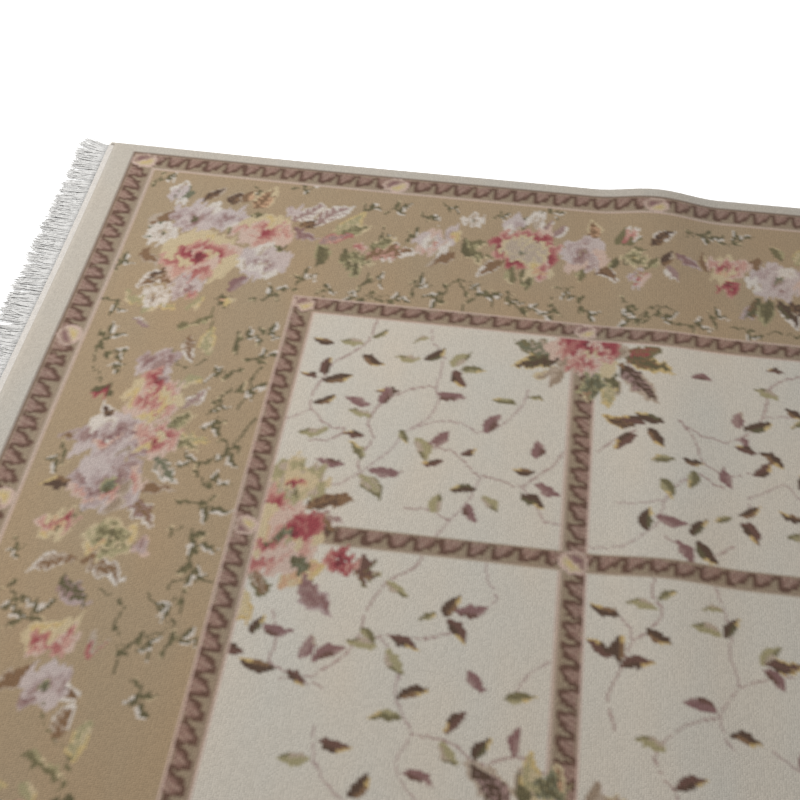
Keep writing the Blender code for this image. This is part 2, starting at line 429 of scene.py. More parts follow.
def button(along, across, size=4.3, turn=0.0):
    """A round button on a guard stripe: half rose, half cream, in a pale ring."""
    pen = Cartoon(along, across, turn, rough=CRISP)
    part, ahead, beside = pen.knots(0.0, 0.0, 0.0, size)
    radius = np.hypot(ahead, beside * 1.1) / (size / 2.0)
    tilted = ahead * 0.6 + beside * 0.8
    pen.fill(part, radius < 1.0, "line")
    pen.fill(part, radius < 0.86, "pale_pink")
    pen.fill(part, (radius < 0.86) & (tilted < -0.1), "shell_rib")
    pen.fill(part, (radius < 0.62) & (tilted < -0.5), "plum")
    pen.fill(part, (radius < 0.72) & (tilted > 0.1), "cream")
    pen.fill(part, (radius < 0.45) & (tilted > 0.3), "yellow")


block(END_EDGE, SIDE_EDGE, LENGTH - END_EDGE, WIDTH - SIDE_EDGE, "tan")
block(field_start, field_top, field_end, field_bottom, "ivory")


# The leafy panels
# Each ivory panel has wandering one-knot stems with small serrated leaves in brown, plum and
# olive wools, most of them tipped with gold. Two drawings for each row of panels are enough,
# because the other half of the rug is the first turned end for end.
LEAF_WOOLS = {
    "brown": ("brown", "chestnut", "gold"),
    "maroon": ("maroon", "brown", "gold"),
    "plum": ("plum", "mauve", "plum"),
    "rosy": ("plum", "maroon", "mauve"),
    "olive": ("olive", "pale_olive", "yellow"),
    "tan": ("pale_olive", "stone", "olive"),
    "dark": ("brown", "moss", "yellow"),
    "mauve": ("mauve", "plum", "stone"),
}

# Each stem is a list of points, along and across from the panel's corner. Each leaf has such a
# point for its stalk, then its heading, its length and its wools.
FIRST_PANEL_STEMS = (
    ((10.5, 0.0), (10.2, 3.2), (9.6, 6.4), (7.2, 9.6), (5.2, 11.6), (4.2, 15.2), (3.0, 19.4),
     (3.4, 22.8)),
    ((3.4, 22.8), (1.5, 24.6), (0.2, 25.4)),
    ((3.4, 22.8), (6.0, 25.8), (9.0, 26.4), (7.4, 28.6), (4.4, 29.6)),
    ((19.6, 1.4), (20.4, 4.4), (22.4, 7.4), (22.4, 10.4), (22.0, 14.8), (22.6, 18.4), (21.2, 22.4),
     (18.4, 25.4), (16.8, 29.4), (14.2, 33.2), (12.2, 36.0), (9.8, 37.8), (7.6, 38.2)),
    ((22.0, 14.8), (19.6, 15.2), (16.8, 17.0), (13.6, 20.2), (12.6, 24.4), (13.6, 28.0), (12.4, 31.4),
     (12.2, 36.0)),
    ((18.4, 25.4), (22.4, 22.8), (26.2, 22.4), (29.8, 24.0), (33.0, 21.6), (35.2, 17.6), (36.4, 13.4)),
    ((20.6, 27.6), (24.4, 28.4), (27.0, 30.2), (29.8, 33.0), (33.4, 33.6), (36.4, 34.4), (38.8, 32.0),
     (41.0, 29.4), (42.4, 26.0)),
    ((30.4, 33.4), (29.6, 36.4), (28.6, 39.4), (26.6, 43.2), (25.2, 46.0)),
    ((20.0, 41.6), (23.4, 41.2), (26.6, 42.8)),
    ((36.4, 34.4), (38.6, 37.4), (40.2, 41.0), (42.4, 41.0)),
)
FIRST_PANEL_LEAVES = (
    (9.4, 6.2, 185, 4.0, "tan"), (10.4, 4.6, -40, 3.0, "olive"), (4.4, 7.0, 195, 3.6, "brown"),
    (9.6, 8.8, 32, 4.4, "brown"), (4.2, 14.8, -85, 4.6, "maroon"), (4.0, 15.6, -18, 5.0, "brown"),
    (3.4, 15.0, 190, 3.0, "maroon"), (3.6, 21.4, -38, 4.0, "brown"), (6.6, 26.8, 165, 4.6, "tan"),
    (19.4, 3.4, 150, 2.6, "tan"), (18.8, 8.8, 182, 4.2, "tan"), (19.4, 9.0, -52, 4.8, "dark"),
    (24.0, 10.2, -58, 5.2, "tan"), (24.4, 10.6, 62, 4.6, "maroon"), (25.2, 10.8, -12, 4.4, "olive"),
    (22.2, 16.2, 4, 4.6, "rosy"), (16.4, 16.6, 175, 3.8, "maroon"), (13.6, 20.0, -80, 4.4, "rosy"),
    (12.4, 20.4, 200, 4.4, "plum"), (12.8, 23.4, 195, 4.2, "tan"), (12.4, 27.4, 190, 3.6, "maroon"),
    (12.6, 32.4, 235, 4.2, "olive"), (10.0, 33.8, 190, 4.2, "rosy"), (13.8, 34.4, -4, 5.2, "plum"),
    (12.6, 35.6, 52, 6.0, "tan"), (17.6, 25.0, 62, 3.4, "olive"), (20.2, 26.4, 70, 5.4, "tan"),
    (22.2, 27.8, -54, 4.6, "plum"), (24.6, 30.8, 160, 3.4, "maroon"), (26.8, 29.4, -40, 3.2, "maroon"),
    (30.6, 24.2, -66, 5.0, "rosy"), (34.6, 16.6, 180, 3.8, "olive"), (36.4, 14.8, 20, 2.6, "olive"),
    (38.2, 28.6, -88, 4.6, "rosy"), (38.4, 31.6, 190, 3.4, "brown"), (38.6, 33.6, 28, 4.6, "plum"),
    (36.2, 36.0, 36, 5.0, "dark"), (30.0, 36.2, 170, 4.2, "dark"), (30.8, 37.2, 50, 4.2, "tan"),
    (28.8, 39.0, 62, 4.2, "rosy"), (24.6, 42.0, -88, 4.4, "tan"),
)
SECOND_PANEL_STEMS = (
    ((34.2, 3.0), (30.6, 4.4), (27.6, 7.2), (27.0, 10.2), (26.0, 14.0), (23.8, 18.2), (20.6, 20.4),
     (17.2, 20.0), (13.0, 17.6)),
    ((26.0, 14.0), (29.6, 13.4), (33.4, 12.8), (37.4, 11.4)),
    ((13.2, 17.4), (15.6, 21.4), (16.4, 25.4), (19.8, 27.4), (23.2, 27.0)),
    ((38.0, 18.6), (36.0, 22.2), (33.4, 25.2)), ((0.6, 25.6), (3.4, 22.6), (6.4, 20.4)),
    ((16.0, 28.2), (12.6, 31.4), (10.8, 34.8), (9.8, 39.2), (7.4, 42.0), (3.8, 44.6), (0.2, 44.8)),
    ((16.0, 28.2), (19.2, 30.6)), ((10.8, 34.8), (7.2, 35.6), (4.0, 35.8)),
    ((10.8, 42.0), (14.4, 44.6), (18.0, 44.0), (20.6, 42.0)),
    ((23.4, 34.6), (23.2, 31.8), (25.6, 30.4), (28.4, 28.6), (31.6, 31.6), (35.6, 31.4), (38.6, 29.4),
     (42.2, 28.4)),
    ((31.6, 31.6), (34.2, 35.0), (36.2, 37.8)),
    ((35.6, 40.2), (35.2, 43.0), (32.4, 44.6), (31.4, 46.0)),
)
SECOND_PANEL_LEAVES = (
    (15.0, 6.4, 4, 3.6, "rosy"), (29.8, 3.2, 175, 3.0, "maroon"), (33.0, 4.8, 45, 3.6, "tan"),
    (28.8, 9.6, 205, 4.4, "tan"), (29.6, 11.6, 45, 3.6, "brown"), (37.8, 10.2, -50, 4.0, "tan"),
    (22.4, 17.4, -88, 4.4, "mauve"), (22.8, 17.2, -26, 5.2, "dark"), (22.4, 18.8, 75, 3.2, "plum"),
    (33.6, 14.8, 165, 3.6, "olive"), (34.4, 14.4, -10, 5.0, "maroon"), (34.0, 16.0, 60, 5.0, "maroon"),
    (6.4, 19.6, 205, 5.6, "brown"), (7.8, 19.0, 195, 4.6, "maroon"), (8.0, 19.6, 60, 4.8, "brown"),
    (6.6, 21.2, 130, 5.0, "maroon"), (10.8, 18.0, 200, 5.0, "dark"), (12.4, 25.8, 165, 4.0, "olive"),
    (15.0, 27.6, 100, 4.4, "olive"), (13.6, 25.2, 15, 3.4, "brown"), (10.0, 30.4, 65, 4.4, "olive"),
    (24.6, 22.6, 195, 3.8, "maroon"), (25.2, 22.0, 45, 4.6, "brown"), (23.8, 27.2, -50, 4.4, "maroon"),
    (20.6, 30.2, -105, 4.4, "plum"), (30.8, 29.4, -88, 3.6, "dark"), (35.2, 26.6, -125, 4.2, "mauve"),
    (36.4, 27.4, -15, 4.4, "dark"), (8.2, 41.0, -85, 4.8, "dark"), (9.4, 37.8, 15, 5.0, "plum"),
    (14.4, 41.2, -50, 4.4, "dark"), (15.4, 41.8, 55, 5.0, "dark"), (12.4, 42.6, 60, 4.4, "plum"),
    (21.4, 35.4, -30, 4.0, "brown"), (22.0, 36.6, 65, 5.0, "maroon"), (20.6, 36.2, 150, 3.0, "olive"),
    (31.0, 35.4, 200, 3.8, "brown"), (31.8, 34.6, 20, 4.6, "maroon"), (33.6, 37.8, 170, 5.6, "tan"),
    (34.6, 40.6, 75, 4.2, "maroon"),
)
THIRD_PANEL_STEMS = (
    ((23.6, 0.0), (22.6, 2.4), (19.2, 5.4), (17.4, 10.4), (16.6, 15.8), (14.4, 19.8), (11.0, 22.6),
     (7.4, 23.4)),
    ((32.6, 0.0), (33.2, 3.4), (34.6, 6.2), (31.8, 9.4)),
    ((16.6, 15.8), (20.8, 14.6), (25.6, 14.4), (29.0, 13.0)),
    ((19.4, 15.2), (22.4, 18.6), (22.8, 24.4), (25.2, 29.4), (24.0, 34.4), (26.8, 39.4)),
    ((4.6, 12.8), (6.0, 17.6), (5.6, 20.8), (9.0, 22.8), (13.0, 24.2)),
    ((38.0, 22.0), (39.6, 18.4), (42.2, 16.0)),
    ((25.2, 29.4), (30.4, 30.4), (34.4, 33.0), (38.8, 31.4), (42.6, 33.4)),
    ((13.0, 30.6), (14.4, 36.4), (18.4, 40.6), (24.0, 41.4)),
)
THIRD_PANEL_LEAVES = (
    (18.6, 3.6, 175, 3.4, "tan"), (19.4, 5.0, 40, 4.0, "tan"), (27.8, 10.6, -65, 4.6, "brown"),
    (29.0, 9.4, -18, 5.0, "rosy"), (28.2, 10.8, 55, 4.8, "maroon"), (24.4, 11.4, -40, 3.0, "olive"),
    (17.0, 13.6, 60, 3.6, "olive"), (19.4, 16.8, 185, 4.4, "tan"), (20.8, 14.6, 25, 4.6, "maroon"),
    (21.0, 16.6, 62, 5.0, "tan"), (11.2, 19.8, -30, 5.0, "rosy"), (9.6, 20.0, -80, 4.4, "mauve"),
    (8.2, 22.0, 45, 3.4, "maroon"), (3.4, 15.4, 5, 4.6, "rosy"), (2.4, 17.0, -70, 3.4, "dark"),
    (2.0, 20.4, 185, 4.6, "maroon"), (6.6, 22.0, 190, 5.2, "brown"), (31.6, 19.0, 45, 4.2, "plum"),
    (22.8, 24.4, -20, 4.6, "brown"), (24.0, 27.4, 170, 4.4, "olive"), (33.6, 32.6, -60, 4.4, "dark"),
    (34.6, 33.4, 50, 4.4, "brown"), (38.6, 31.2, -85, 4.2, "plum"), (14.0, 32.4, 5, 4.4, "maroon"),
    (13.4, 35.0, 170, 4.4, "tan"), (18.6, 40.0, -60, 4.6, "brown"), (25.0, 35.4, 20, 4.4, "rosy"),
    (29.4, 30.2, 55, 4.2, "tan"), (36.8, 23.0, -15, 4.2, "olive"), (32.0, 25.6, 120, 4.4, "maroon"),
)
FOURTH_PANEL_STEMS = (
    ((9.4, 0.0), (9.0, 2.8), (10.4, 6.0), (8.4, 9.2), (6.4, 11.4), (4.8, 16.0), (3.4, 20.6),
     (4.4, 26.4)),
    ((17.8, 0.0), (18.6, 3.4), (19.6, 7.6), (19.2, 11.4), (20.0, 16.4), (17.8, 21.6), (19.4, 27.0)),
    ((20.0, 16.4), (24.6, 14.6), (27.4, 13.6)), ((6.4, 11.4), (5.6, 8.4), (3.8, 6.0)),
    ((17.8, 21.6), (12.4, 24.4), (9.4, 29.6), (12.4, 35.4), (10.4, 40.8)),
    ((24.4, 26.0), (28.4, 29.0), (33.4, 28.4), (37.4, 31.6), (42.2, 31.0)),
    ((33.4, 28.4), (32.4, 34.6), (28.4, 39.4), (29.4, 45.8)),
    ((36.4, 2.0), (35.0, 7.0), (37.4, 11.4), (34.4, 16.6), (36.6, 21.4)),
)
FOURTH_PANEL_LEAVES = (
    (9.8, 3.8, -35, 3.4, "olive"), (9.6, 5.4, 195, 4.4, "tan"), (4.8, 6.8, 200, 4.6, "brown"),
    (8.4, 8.6, 35, 4.4, "brown"), (4.6, 14.8, -85, 5.0, "brown"), (3.6, 14.2, 215, 4.4, "maroon"),
    (4.6, 15.4, -12, 5.0, "maroon"), (18.6, 4.0, 175, 3.0, "tan"), (18.8, 8.8, -60, 4.4, "dark"),
    (18.4, 8.4, 190, 4.4, "tan"), (23.4, 12.6, -50, 4.8, "tan"), (24.0, 12.0, -5, 5.6, "maroon"),
    (23.8, 12.8, 60, 4.6, "rosy"), (17.4, 21.0, 190, 4.6, "rosy"), (19.0, 24.6, 10, 4.4, "brown"),
    (10.6, 28.2, 200, 4.2, "tan"), (11.8, 33.4, -20, 4.6, "maroon"), (11.4, 38.8, 165, 4.4, "brown"),
    (28.0, 28.8, -70, 4.4, "plum"), (36.6, 31.0, -70, 4.6, "dark"), (37.4, 32.0, 60, 4.4, "maroon"),
    (31.4, 36.4, 20, 4.4, "tan"), (28.8, 40.4, 185, 4.6, "rosy"), (35.6, 7.4, 190, 4.4, "maroon"),
    (37.0, 12.0, 20, 4.2, "brown"), (34.8, 16.4, 200, 4.4, "plum"), (36.2, 20.4, 70, 4.4, "tan"),
)
LEAF_SLIM = 0.42
LEAF_BENDS = (-0.08, 0.10)


def leafy_panel(column, row, stems, leaves):
    """Draw one panel's stems and leaves at its place in the field."""
    low_a = field_start + column * (panel_along + DIVIDER)
    low_b = field_top + row * (panel_across + DIVIDER)
    inside = (low_a, low_b, low_a + panel_along, low_b + panel_across)
    pen = Cartoon(low_a, low_b, within=inside, rough=CRISP)
    for number, points in enumerate(stems):
        pen.stem(points, ("stalk", "pale_stalk")[number % 2])
    for number, (x, y, heading, length, kind) in enumerate(leaves):
        bend = LEAF_BENDS[number % 2]
        pen.leaf(x, y, heading, length, length * LEAF_SLIM, LEAF_WOOLS[kind], bend)


leafy_panel(0, 0, FIRST_PANEL_STEMS, FIRST_PANEL_LEAVES)
leafy_panel(1, 0, SECOND_PANEL_STEMS, SECOND_PANEL_LEAVES)
leafy_panel(0, 1, THIRD_PANEL_STEMS, THIRD_PANEL_LEAVES)
leafy_panel(1, 1, FOURTH_PANEL_STEMS, FOURTH_PANEL_LEAVES)


# The bouquets of the tan border
# The wide border carries a large rose bouquet in each corner, smaller bouquets along the sides,
# and loose dark twigs with white buds between them and along the inner guard stripe.
CREAM = ("cream", "cream", "peach")
GOLDEN = ("cream", "yellow", "peach")
BLUSH = ("pale_pink", "pale_pink", "pink")
PINK = ("pale_pink", "pink", "rose")
ROSE = ("pink", "rose", "crimson")
CRIMSON = ("rose", "crimson", "garnet")
LILAC = ("pale_lilac", "lilac", "mauve")
PALE = ("pale_lilac", "pale_lilac", "lilac")
MAUVE = ("lilac", "mauve", "plum")
WHITE = ("white", "white", "stone")
DUSTY = ("stone", "taupe", "mauve")
SPRING = ("cream", "pale_olive", "olive")
GREEN_EYE = ("pale_olive", "grey_green", "moss")
ROSE_EYE = ("pink", "rose", "rose")
CRIMSON_EYE = ("crimson", "crimson", "garnet")
GARNET_EYE = ("crimson", "garnet", "garnet")

LEAF_BARK = ("chestnut", "chestnut", "stone")
LEAF_DARK = ("brown", "chestnut", "stone")
LEAF_SNOW = ("chestnut", "brown", "white")
LEAF_GREEN = ("moss", "olive", "pale_olive")
LEAF_LIME = ("olive", "pale_olive", "cream")
LEAF_SUN = ("pale_olive", "cream", "yellow")
LEAF_MAUVE = ("plum", "mauve", "lilac")
LEAF_PEACH = ("chestnut", "peach", "cream")
LEAF_TEAL = ("grey_green", "grey_green", "white")
LEAF_PALE = ("mauve", "white", "white")
LEAF_FROST = ("mauve", "stone", "white")
LEAF_ASH = ("chestnut", "stone", "white")
LEAF_RIME = ("brown", "chestnut", "white")
SLIM_LEAF = 0.36
BLADE_LEAF = 0.30
SPRAY_BENDS = (-0.07, 0.08)


def leaves(pen, places, slim=LEAF_SLIM):
    """Draw a list of leaves, each with its root, its tip and its wools."""
    pen = pen.moved(0.0, 0.0)
    pen.rough = LEAFY
    for number, (root, tip, wools) in enumerate(places):
        pen.leaf_to(root, tip, wools, slim, SPRAY_BENDS[number % 2])


def corner_bouquet(pen):
    """The corner bouquet: a great rose and a pink one among lilac and white flowers."""
    leaves(pen, (
        ((18.9, 18.6), (12.6, 24.0), LEAF_BARK), ((21.2, 15.6), (24.6, 11.2), LEAF_DARK),
        ((25.6, 16.4), (28.9, 12.0), LEAF_DARK), ((30.0, 16.8), (33.2, 9.4), LEAF_PEACH),
        ((28.6, 15.6), (30.2, 10.8), LEAF_PEACH), ((14.2, 30.6), (17.6, 35.6), LEAF_BARK),
        ((18.0, 25.8), (12.6, 28.2), LEAF_TEAL), ((17.6, 24.4), (13.2, 24.6), LEAF_TEAL),
        ((37.8, 19.6), (43.4, 13.6), LEAF_PALE), ((39.6, 20.2), (44.6, 16.0), LEAF_SNOW),
        ((42.4, 19.2), (48.4, 12.8), LEAF_PALE), ((45.6, 21.6), (50.2, 14.4), LEAF_SUN),
        ((46.8, 22.4), (52.4, 18.4), LEAF_LIME), ((38.8, 20.6), (43.6, 24.4), LEAF_MAUVE),
        ((43.6, 24.8), (49.4, 21.8), ("mauve", "pink", "rose")),
        ((44.4, 30.8), (43.6, 24.6), LEAF_GREEN), ((47.6, 26.2), (51.4, 33.4), LEAF_GREEN),
        ((48.6, 26.2), (54.0, 30.0), LEAF_LIME),
        ((51.4, 27.6), (61.0, 24.6), ("chestnut", "pink", "white")),
        ((52.0, 24.6), (57.0, 20.6), LEAF_LIME), ((30.4, 39.8), (33.4, 35.8), LEAF_MAUVE),
        ((21.8, 36.2), (15.2, 41.2), LEAF_SNOW), ((22.6, 37.2), (17.0, 38.6), LEAF_BARK),
        ((24.8, 46.4), (27.0, 42.4), LEAF_SUN), ((33.4, 27.4), (38.6, 28.4), LEAF_GREEN),
        ((29.8, 19.8), (27.6, 24.6), LEAF_GREEN), ((38.0, 24.8), (36.2, 28.0), LEAF_GREEN),
        ((32.8, 17.8), (29.6, 19.4), LEAF_GREEN),
    ))
    leaves(pen, (
        ((17.8, 47.8), (21.2, 44.0), LEAF_SUN), ((26.4, 49.4), (29.8, 46.6), LEAF_LIME),
        ((31.0, 56.4), (30.2, 49.2), LEAF_SUN), ((26.8, 52.6), (28.8, 59.0), LEAF_ASH),
        ((24.0, 50.6), (27.8, 48.8), LEAF_LIME), ((19.6, 51.6), (16.6, 48.8), LEAF_FROST),
    ), SLIM_LEAF)
    pen.stem([(29.5, 45.0), (29.5, 50.0), (25.7, 54.2), (24.3, 58.4)], "olive")
    pen.blossom(16.8, 14.2, 2.5, [WHITE, LEAF_TEAL, WHITE, PALE, WHITE], [PALE] * 3, GREEN_EYE)
    pen.blossom(20.8, 20.4, 4.6, [PALE, WHITE, LILAC, PALE, LILAC, MAUVE, LILAC],
                [PALE, LILAC, MAUVE, PALE, LILAC], ("mauve", "moss", "moss"))
    pen.blossom(26.9, 20.2, 3.2, [PALE, LILAC, WHITE, LILAC, PALE], [LILAC, PALE, MAUVE], MAUVE)
    pen.star(16.2, 26.6, 3.0, WHITE, ("cream", "grey_green", "moss"), 7)
    pen.blossom(33.6, 22.8, 5.2, [GOLDEN, CREAM, PINK, BLUSH, PINK, BLUSH, PINK, CREAM],
                [CREAM, PINK, ROSE, BLUSH, PINK], ("rose", "crimson", "crimson"))
    pen.oval(37.2, 15.6, 50.0, 3.8, 3.4, PALE)
    pen.blossom(34.8, 31.8, 4.5, [WHITE, PALE, PALE, WHITE, PALE, WHITE, PALE],
                [PALE, LILAC, WHITE, LILAC], ("white", "lilac", "mauve"))
    pen.blossom(24.2, 31.2, 6.9, [GOLDEN, CREAM, PINK, CREAM, CREAM, ROSE, PINK, ROSE, CREAM, CREAM],
                [ROSE, CRIMSON, BLUSH, PINK, CREAM, CRIMSON, ROSE], CRIMSON_EYE)
    pen.ring(24.6, 31.6, 1.6, 2.0, [BLUSH, CRIMSON, PINK, CREAM], 40.0)
    pen.oval(23.9, 31.0, -60.0, 2.2, 1.6, GARNET_EYE)
    pen.blossom(23.6, 40.2, 3.0, [LILAC, PALE, ROSE, LILAC, PALE], [PALE, MAUVE, LILAC],
                ("white", "lilac", "rose"))
    leaves(pen, (((15.0, 44.6), (23.6, 45.6), LEAF_SUN), ((14.0, 42.2), (17.2, 46.4), LEAF_SUN)), BLADE_LEAF)
    pen.star(18.9, 43.2, 2.7, WHITE, ("cream", "chestnut", "brown"), 6)
    pen.bud(31.0, 42.4, -10.0, 3.8, GOLDEN, "moss")
    pen.oval(50.2, 24.7, 0.0, 2.4, 2.0, PINK)


def crimson_bouquet(pen):
    """The first bouquet of a long side: a crimson flower with a cream heart, pale flowers beside it."""
    leaves(pen, (
        ((66.8, 23.2), (62.6, 28.0), LEAF_BARK),
        ((75.9, 25.0), (71.6, 29.2), ("chestnut", "chestnut", "white")),
        ((68.6, 21.4), (71.8, 26.6), LEAF_LIME), ((67.8, 20.6), (72.8, 20.4), LEAF_LIME),
        ((70.4, 24.4), (68.4, 19.4), LEAF_GREEN), ((70.6, 22.6), (73.8, 24.4), LEAF_LIME),
        ((78.2, 14.8), (79.1, 10.8), LEAF_GREEN), ((77.0, 26.4), (78.2, 31.0), LEAF_LIME),
        ((79.0, 26.4), (80.0, 32.2), LEAF_GREEN), ((83.4, 16.4), (86.2, 12.8), LEAF_PALE),
        ((82.2, 15.8), (83.8, 12.0), LEAF_PALE), ((90.4, 16.6), (90.0, 10.0), LEAF_PEACH),
        ((91.2, 24.0), (95.6, 28.0), LEAF_SNOW), ((89.6, 24.8), (88.8, 28.8), LEAF_LIME),
        ((101.0, 17.4), (105.6, 12.8), LEAF_RIME), ((102.0, 22.4), (104.8, 18.2), LEAF_DARK),
        ((96.6, 23.8), (99.6, 19.4), LEAF_GREEN), ((99.6, 24.0), (102.4, 20.4), LEAF_LIME),
        ((97.0, 20.0), (100.6, 18.6), LEAF_LIME), ((95.8, 21.6), (93.6, 24.6), LEAF_GREEN),
        ((105.0, 19.2), (109.6, 22.4), LEAF_MAUVE), ((103.8, 22.0), (105.6, 26.2), LEAF_PALE),
    ))
    pen.star(69.6, 14.0, 2.2, WHITE, ("grey_green", "grey_green", "moss"), 5)
    pen.oval(66.0, 16.6, -60.0, 3.4, 2.4, PALE)
    pen.blossom(63.0, 21.2, 3.7, [BLUSH, PALE, WHITE, BLUSH, PALE], [PALE, BLUSH, WHITE],
                ("white", "pink", "pink"))
    pen.oval(66.6, 19.2, -50.0, 3.2, 2.2, GOLDEN)
    pen.ring(79.4, 14.8, 3.0, 3.0, [PALE, WHITE, BLUSH, PALE, WHITE], -140.0)
    pen.ring(79.1, 20.8, 4.3, 3.6, [ROSE, CRIMSON, ROSE, CRIMSON, ROSE, CRIMSON, ROSE, CRIMSON, ROSE],
             -90.0)
    pen.ring(81.8, 26.2, 1.6, 2.6, [CREAM, PINK, CREAM, GOLDEN, PINK], 0.0)
    pen.star(79.0, 20.8, 4.2, ("cream", "stone", "stone"), ("stone", "grey_green", "taupe"), 8)
    pen.blossom(89.4, 20.6, 4.7, [LILAC, PALE, BLUSH, LILAC, BLUSH, PALE, LILAC],
                [PALE, LILAC, MAUVE, LILAC], ("mauve", "taupe", "plum"))
    pen.bud(97.2, 15.0, -60.0, 5.2, ("white", "pink", "rose"), "olive")
    pen.star(98.4, 21.8, 2.4, SPRING, ("yellow", "olive", "moss"), 5)
    pen.blossom(98.9, 26.6, 1.9, [PALE, BLUSH, PALE, LILAC], [ROSE] * 2, ROSE_EYE)


def pale_bouquet(pen):
    """The bouquet by the middle of a long side, up to the great rose at the middle itself."""
    leaves(pen, (
        ((111.4, 22.4), (110.2, 17.6), LEAF_PEACH), ((116.6, 20.2), (120.6, 17.0), LEAF_BARK),
        ((119.4, 28.0), (115.6, 33.8), ("moss", "chestnut", "lilac")),
        ((121.6, 28.2), (119.6, 35.8), LEAF_GREEN),
        ((122.6, 28.2), (125.2, 35.2), ("brown", "moss", "white")),
        ((124.4, 27.4), (130.2, 32.6), LEAF_DARK), ((126.0, 18.4), (129.6, 12.6), LEAF_SUN),
        ((123.6, 17.4), (121.6, 12.6), LEAF_LIME), ((131.4, 15.8), (133.4, 10.6), LEAF_MAUVE),
        ((133.6, 28.4), (134.4, 34.6), LEAF_LIME),
    ))
    pen.blossom(114.4, 20.8, 3.6, [CREAM, PINK, PINK, CREAM, PINK], [PINK, CREAM, ROSE],
                ("pink", "rose", "chestnut"))
    pen.blossom(114.4, 25.9, 1.9, [CREAM, CRIMSON, ROSE, CRIMSON], [CRIMSON] * 2, CRIMSON_EYE)
    pen.blossom(122.0, 23.2, 4.6, [PALE, WHITE, PALE, LILAC, PALE, WHITE, LILAC],
                [WHITE, PALE, LILAC, PALE], ("grey_green", "grey_green", "taupe"))
    pen.blossom(129.4, 22.4, 4.2, [BLUSH, LILAC, PALE, PINK, BLUSH, LILAC], [LILAC, BLUSH, MAUVE],
                ("mauve", "plum", "plum"))


def end_bouquet(pen):
    """The tall bouquet of an end: pink roses above, lilac flowers below, a green-gold one at its foot."""
    leaves(pen, (
        ((28.0, 64.6), (31.6, 61.6), LEAF_SUN), ((29.4, 68.6), (32.4, 64.0), LEAF_FROST),
        ((18.4, 75.2), (12.4, 77.6), ("chestnut", "stone", "lilac")),
        ((19.4, 74.6), (17.4, 69.0), LEAF_RIME), ((28.4, 74.2), (32.4, 69.8), LEAF_LIME),
        ((28.6, 75.4), (35.6, 75.2), LEAF_SUN), ((28.8, 76.6), (34.4, 77.8), LEAF_LIME),
        ((28.2, 80.2), (32.6, 84.6), ("grey_green", "stone", "white")),
        ((26.8, 86.4), (32.6, 86.2), LEAF_BARK),
        ((18.2, 87.6), (12.8, 88.2), ("brown", "chestnut", "yellow")),
        ((26.4, 88.6), (30.8, 94.2), ("chestnut", "mauve", "white")),
        ((21.6, 101.0), (15.4, 104.2), LEAF_ASH), ((22.6, 100.4), (29.4, 104.6), LEAF_ASH),
        ((20.8, 103.8), (25.8, 109.2), ("moss", "mauve", "lilac")),
    ))
    pen.ring(23.6, 59.4, 2.2, 2.6, [LILAC, MAUVE, PALE, LILAC, PALE, MAUVE], -90.0)
    pen.oval(23.8, 60.4, -90.0, 4.2, 3.4, ("lilac", "mauve", "mauve"))
    pen.blossom(24.8, 67.4, 5.0, [ROSE, PINK, CREAM, PINK, GOLDEN, BLUSH, GOLDEN, CREAM],
                [CREAM, GOLDEN, PINK, ROSE, BLUSH], ("cream", "pink", "rose"))
    pen.ring(24.2, 63.4, 1.4, 2.6, [ROSE, MAUVE, CRIMSON, PINK, ROSE], -90.0)
    pen.bud(16.8, 66.9, 100.0, 3.4, CRIMSON, "moss")
    pen.blossom(20.6, 76.6, 5.4, [PALE, LILAC, MAUVE, DUSTY, LILAC, PALE, MAUVE, WHITE],
                [MAUVE, LILAC, PINK, LILAC], ("mauve", "plum", "white"))
    pen.blossom(27.0, 76.6, 4.3, [PINK, ROSE, PINK, BLUSH, MAUVE, LILAC, PINK],
                [CREAM, ROSE, GOLDEN, PINK], ("peach", "crimson", "garnet"))
    pen.blossom(22.6, 86.2, 5.8, [LILAC, MAUVE, PINK, LILAC, DUSTY, LILAC, PINK, MAUVE, PALE],
                [MAUVE, DUSTY, PINK, MAUVE, LILAC], GREEN_EYE)
    pen.ring(17.4, 95.2, 1.4, 2.6, [GOLDEN, PINK, CREAM, ROSE, CREAM], 120.0)
    pen.ring(25.2, 96.6, 2.4, 3.0, [SPRING, GOLDEN, SPRING, SPRING, GOLDEN, SPRING], -90.0)
    pen.star(25.0, 95.6, 2.8, SPRING, ("cream", "moss", "moss"), 6)
    pen.oval(30.0, 97.4, 20.0, 3.0, 2.4, ("pale_pink", "lilac", "mauve"))
    pen.stem([(20.4, 91.4), (18.6, 93.6), (17.8, 96.4)], "moss")
    pen.blossom(22.0, 114.4, 3.8, [GOLDEN, CREAM, PINK, ROSE, PINK, CREAM, GOLDEN], [CREAM, PINK, ROSE],
                ROSE_EYE)
    pen.bud(28.0, 114.6, 80.0, 3.0, ("rose", "rose", "crimson"), "stone")
    leaves(pen, (((21.0, 119.4), (16.0, 124.0), LEAF_BARK), ((23.8, 119.2), (29.0, 124.6), LEAF_SNOW)))
    pen.blossom(23.4, 122.4, 3.6, [PALE, LILAC, PALE, MAUVE, PALE], [LILAC, PALE, LILAC], GREEN_EYE)


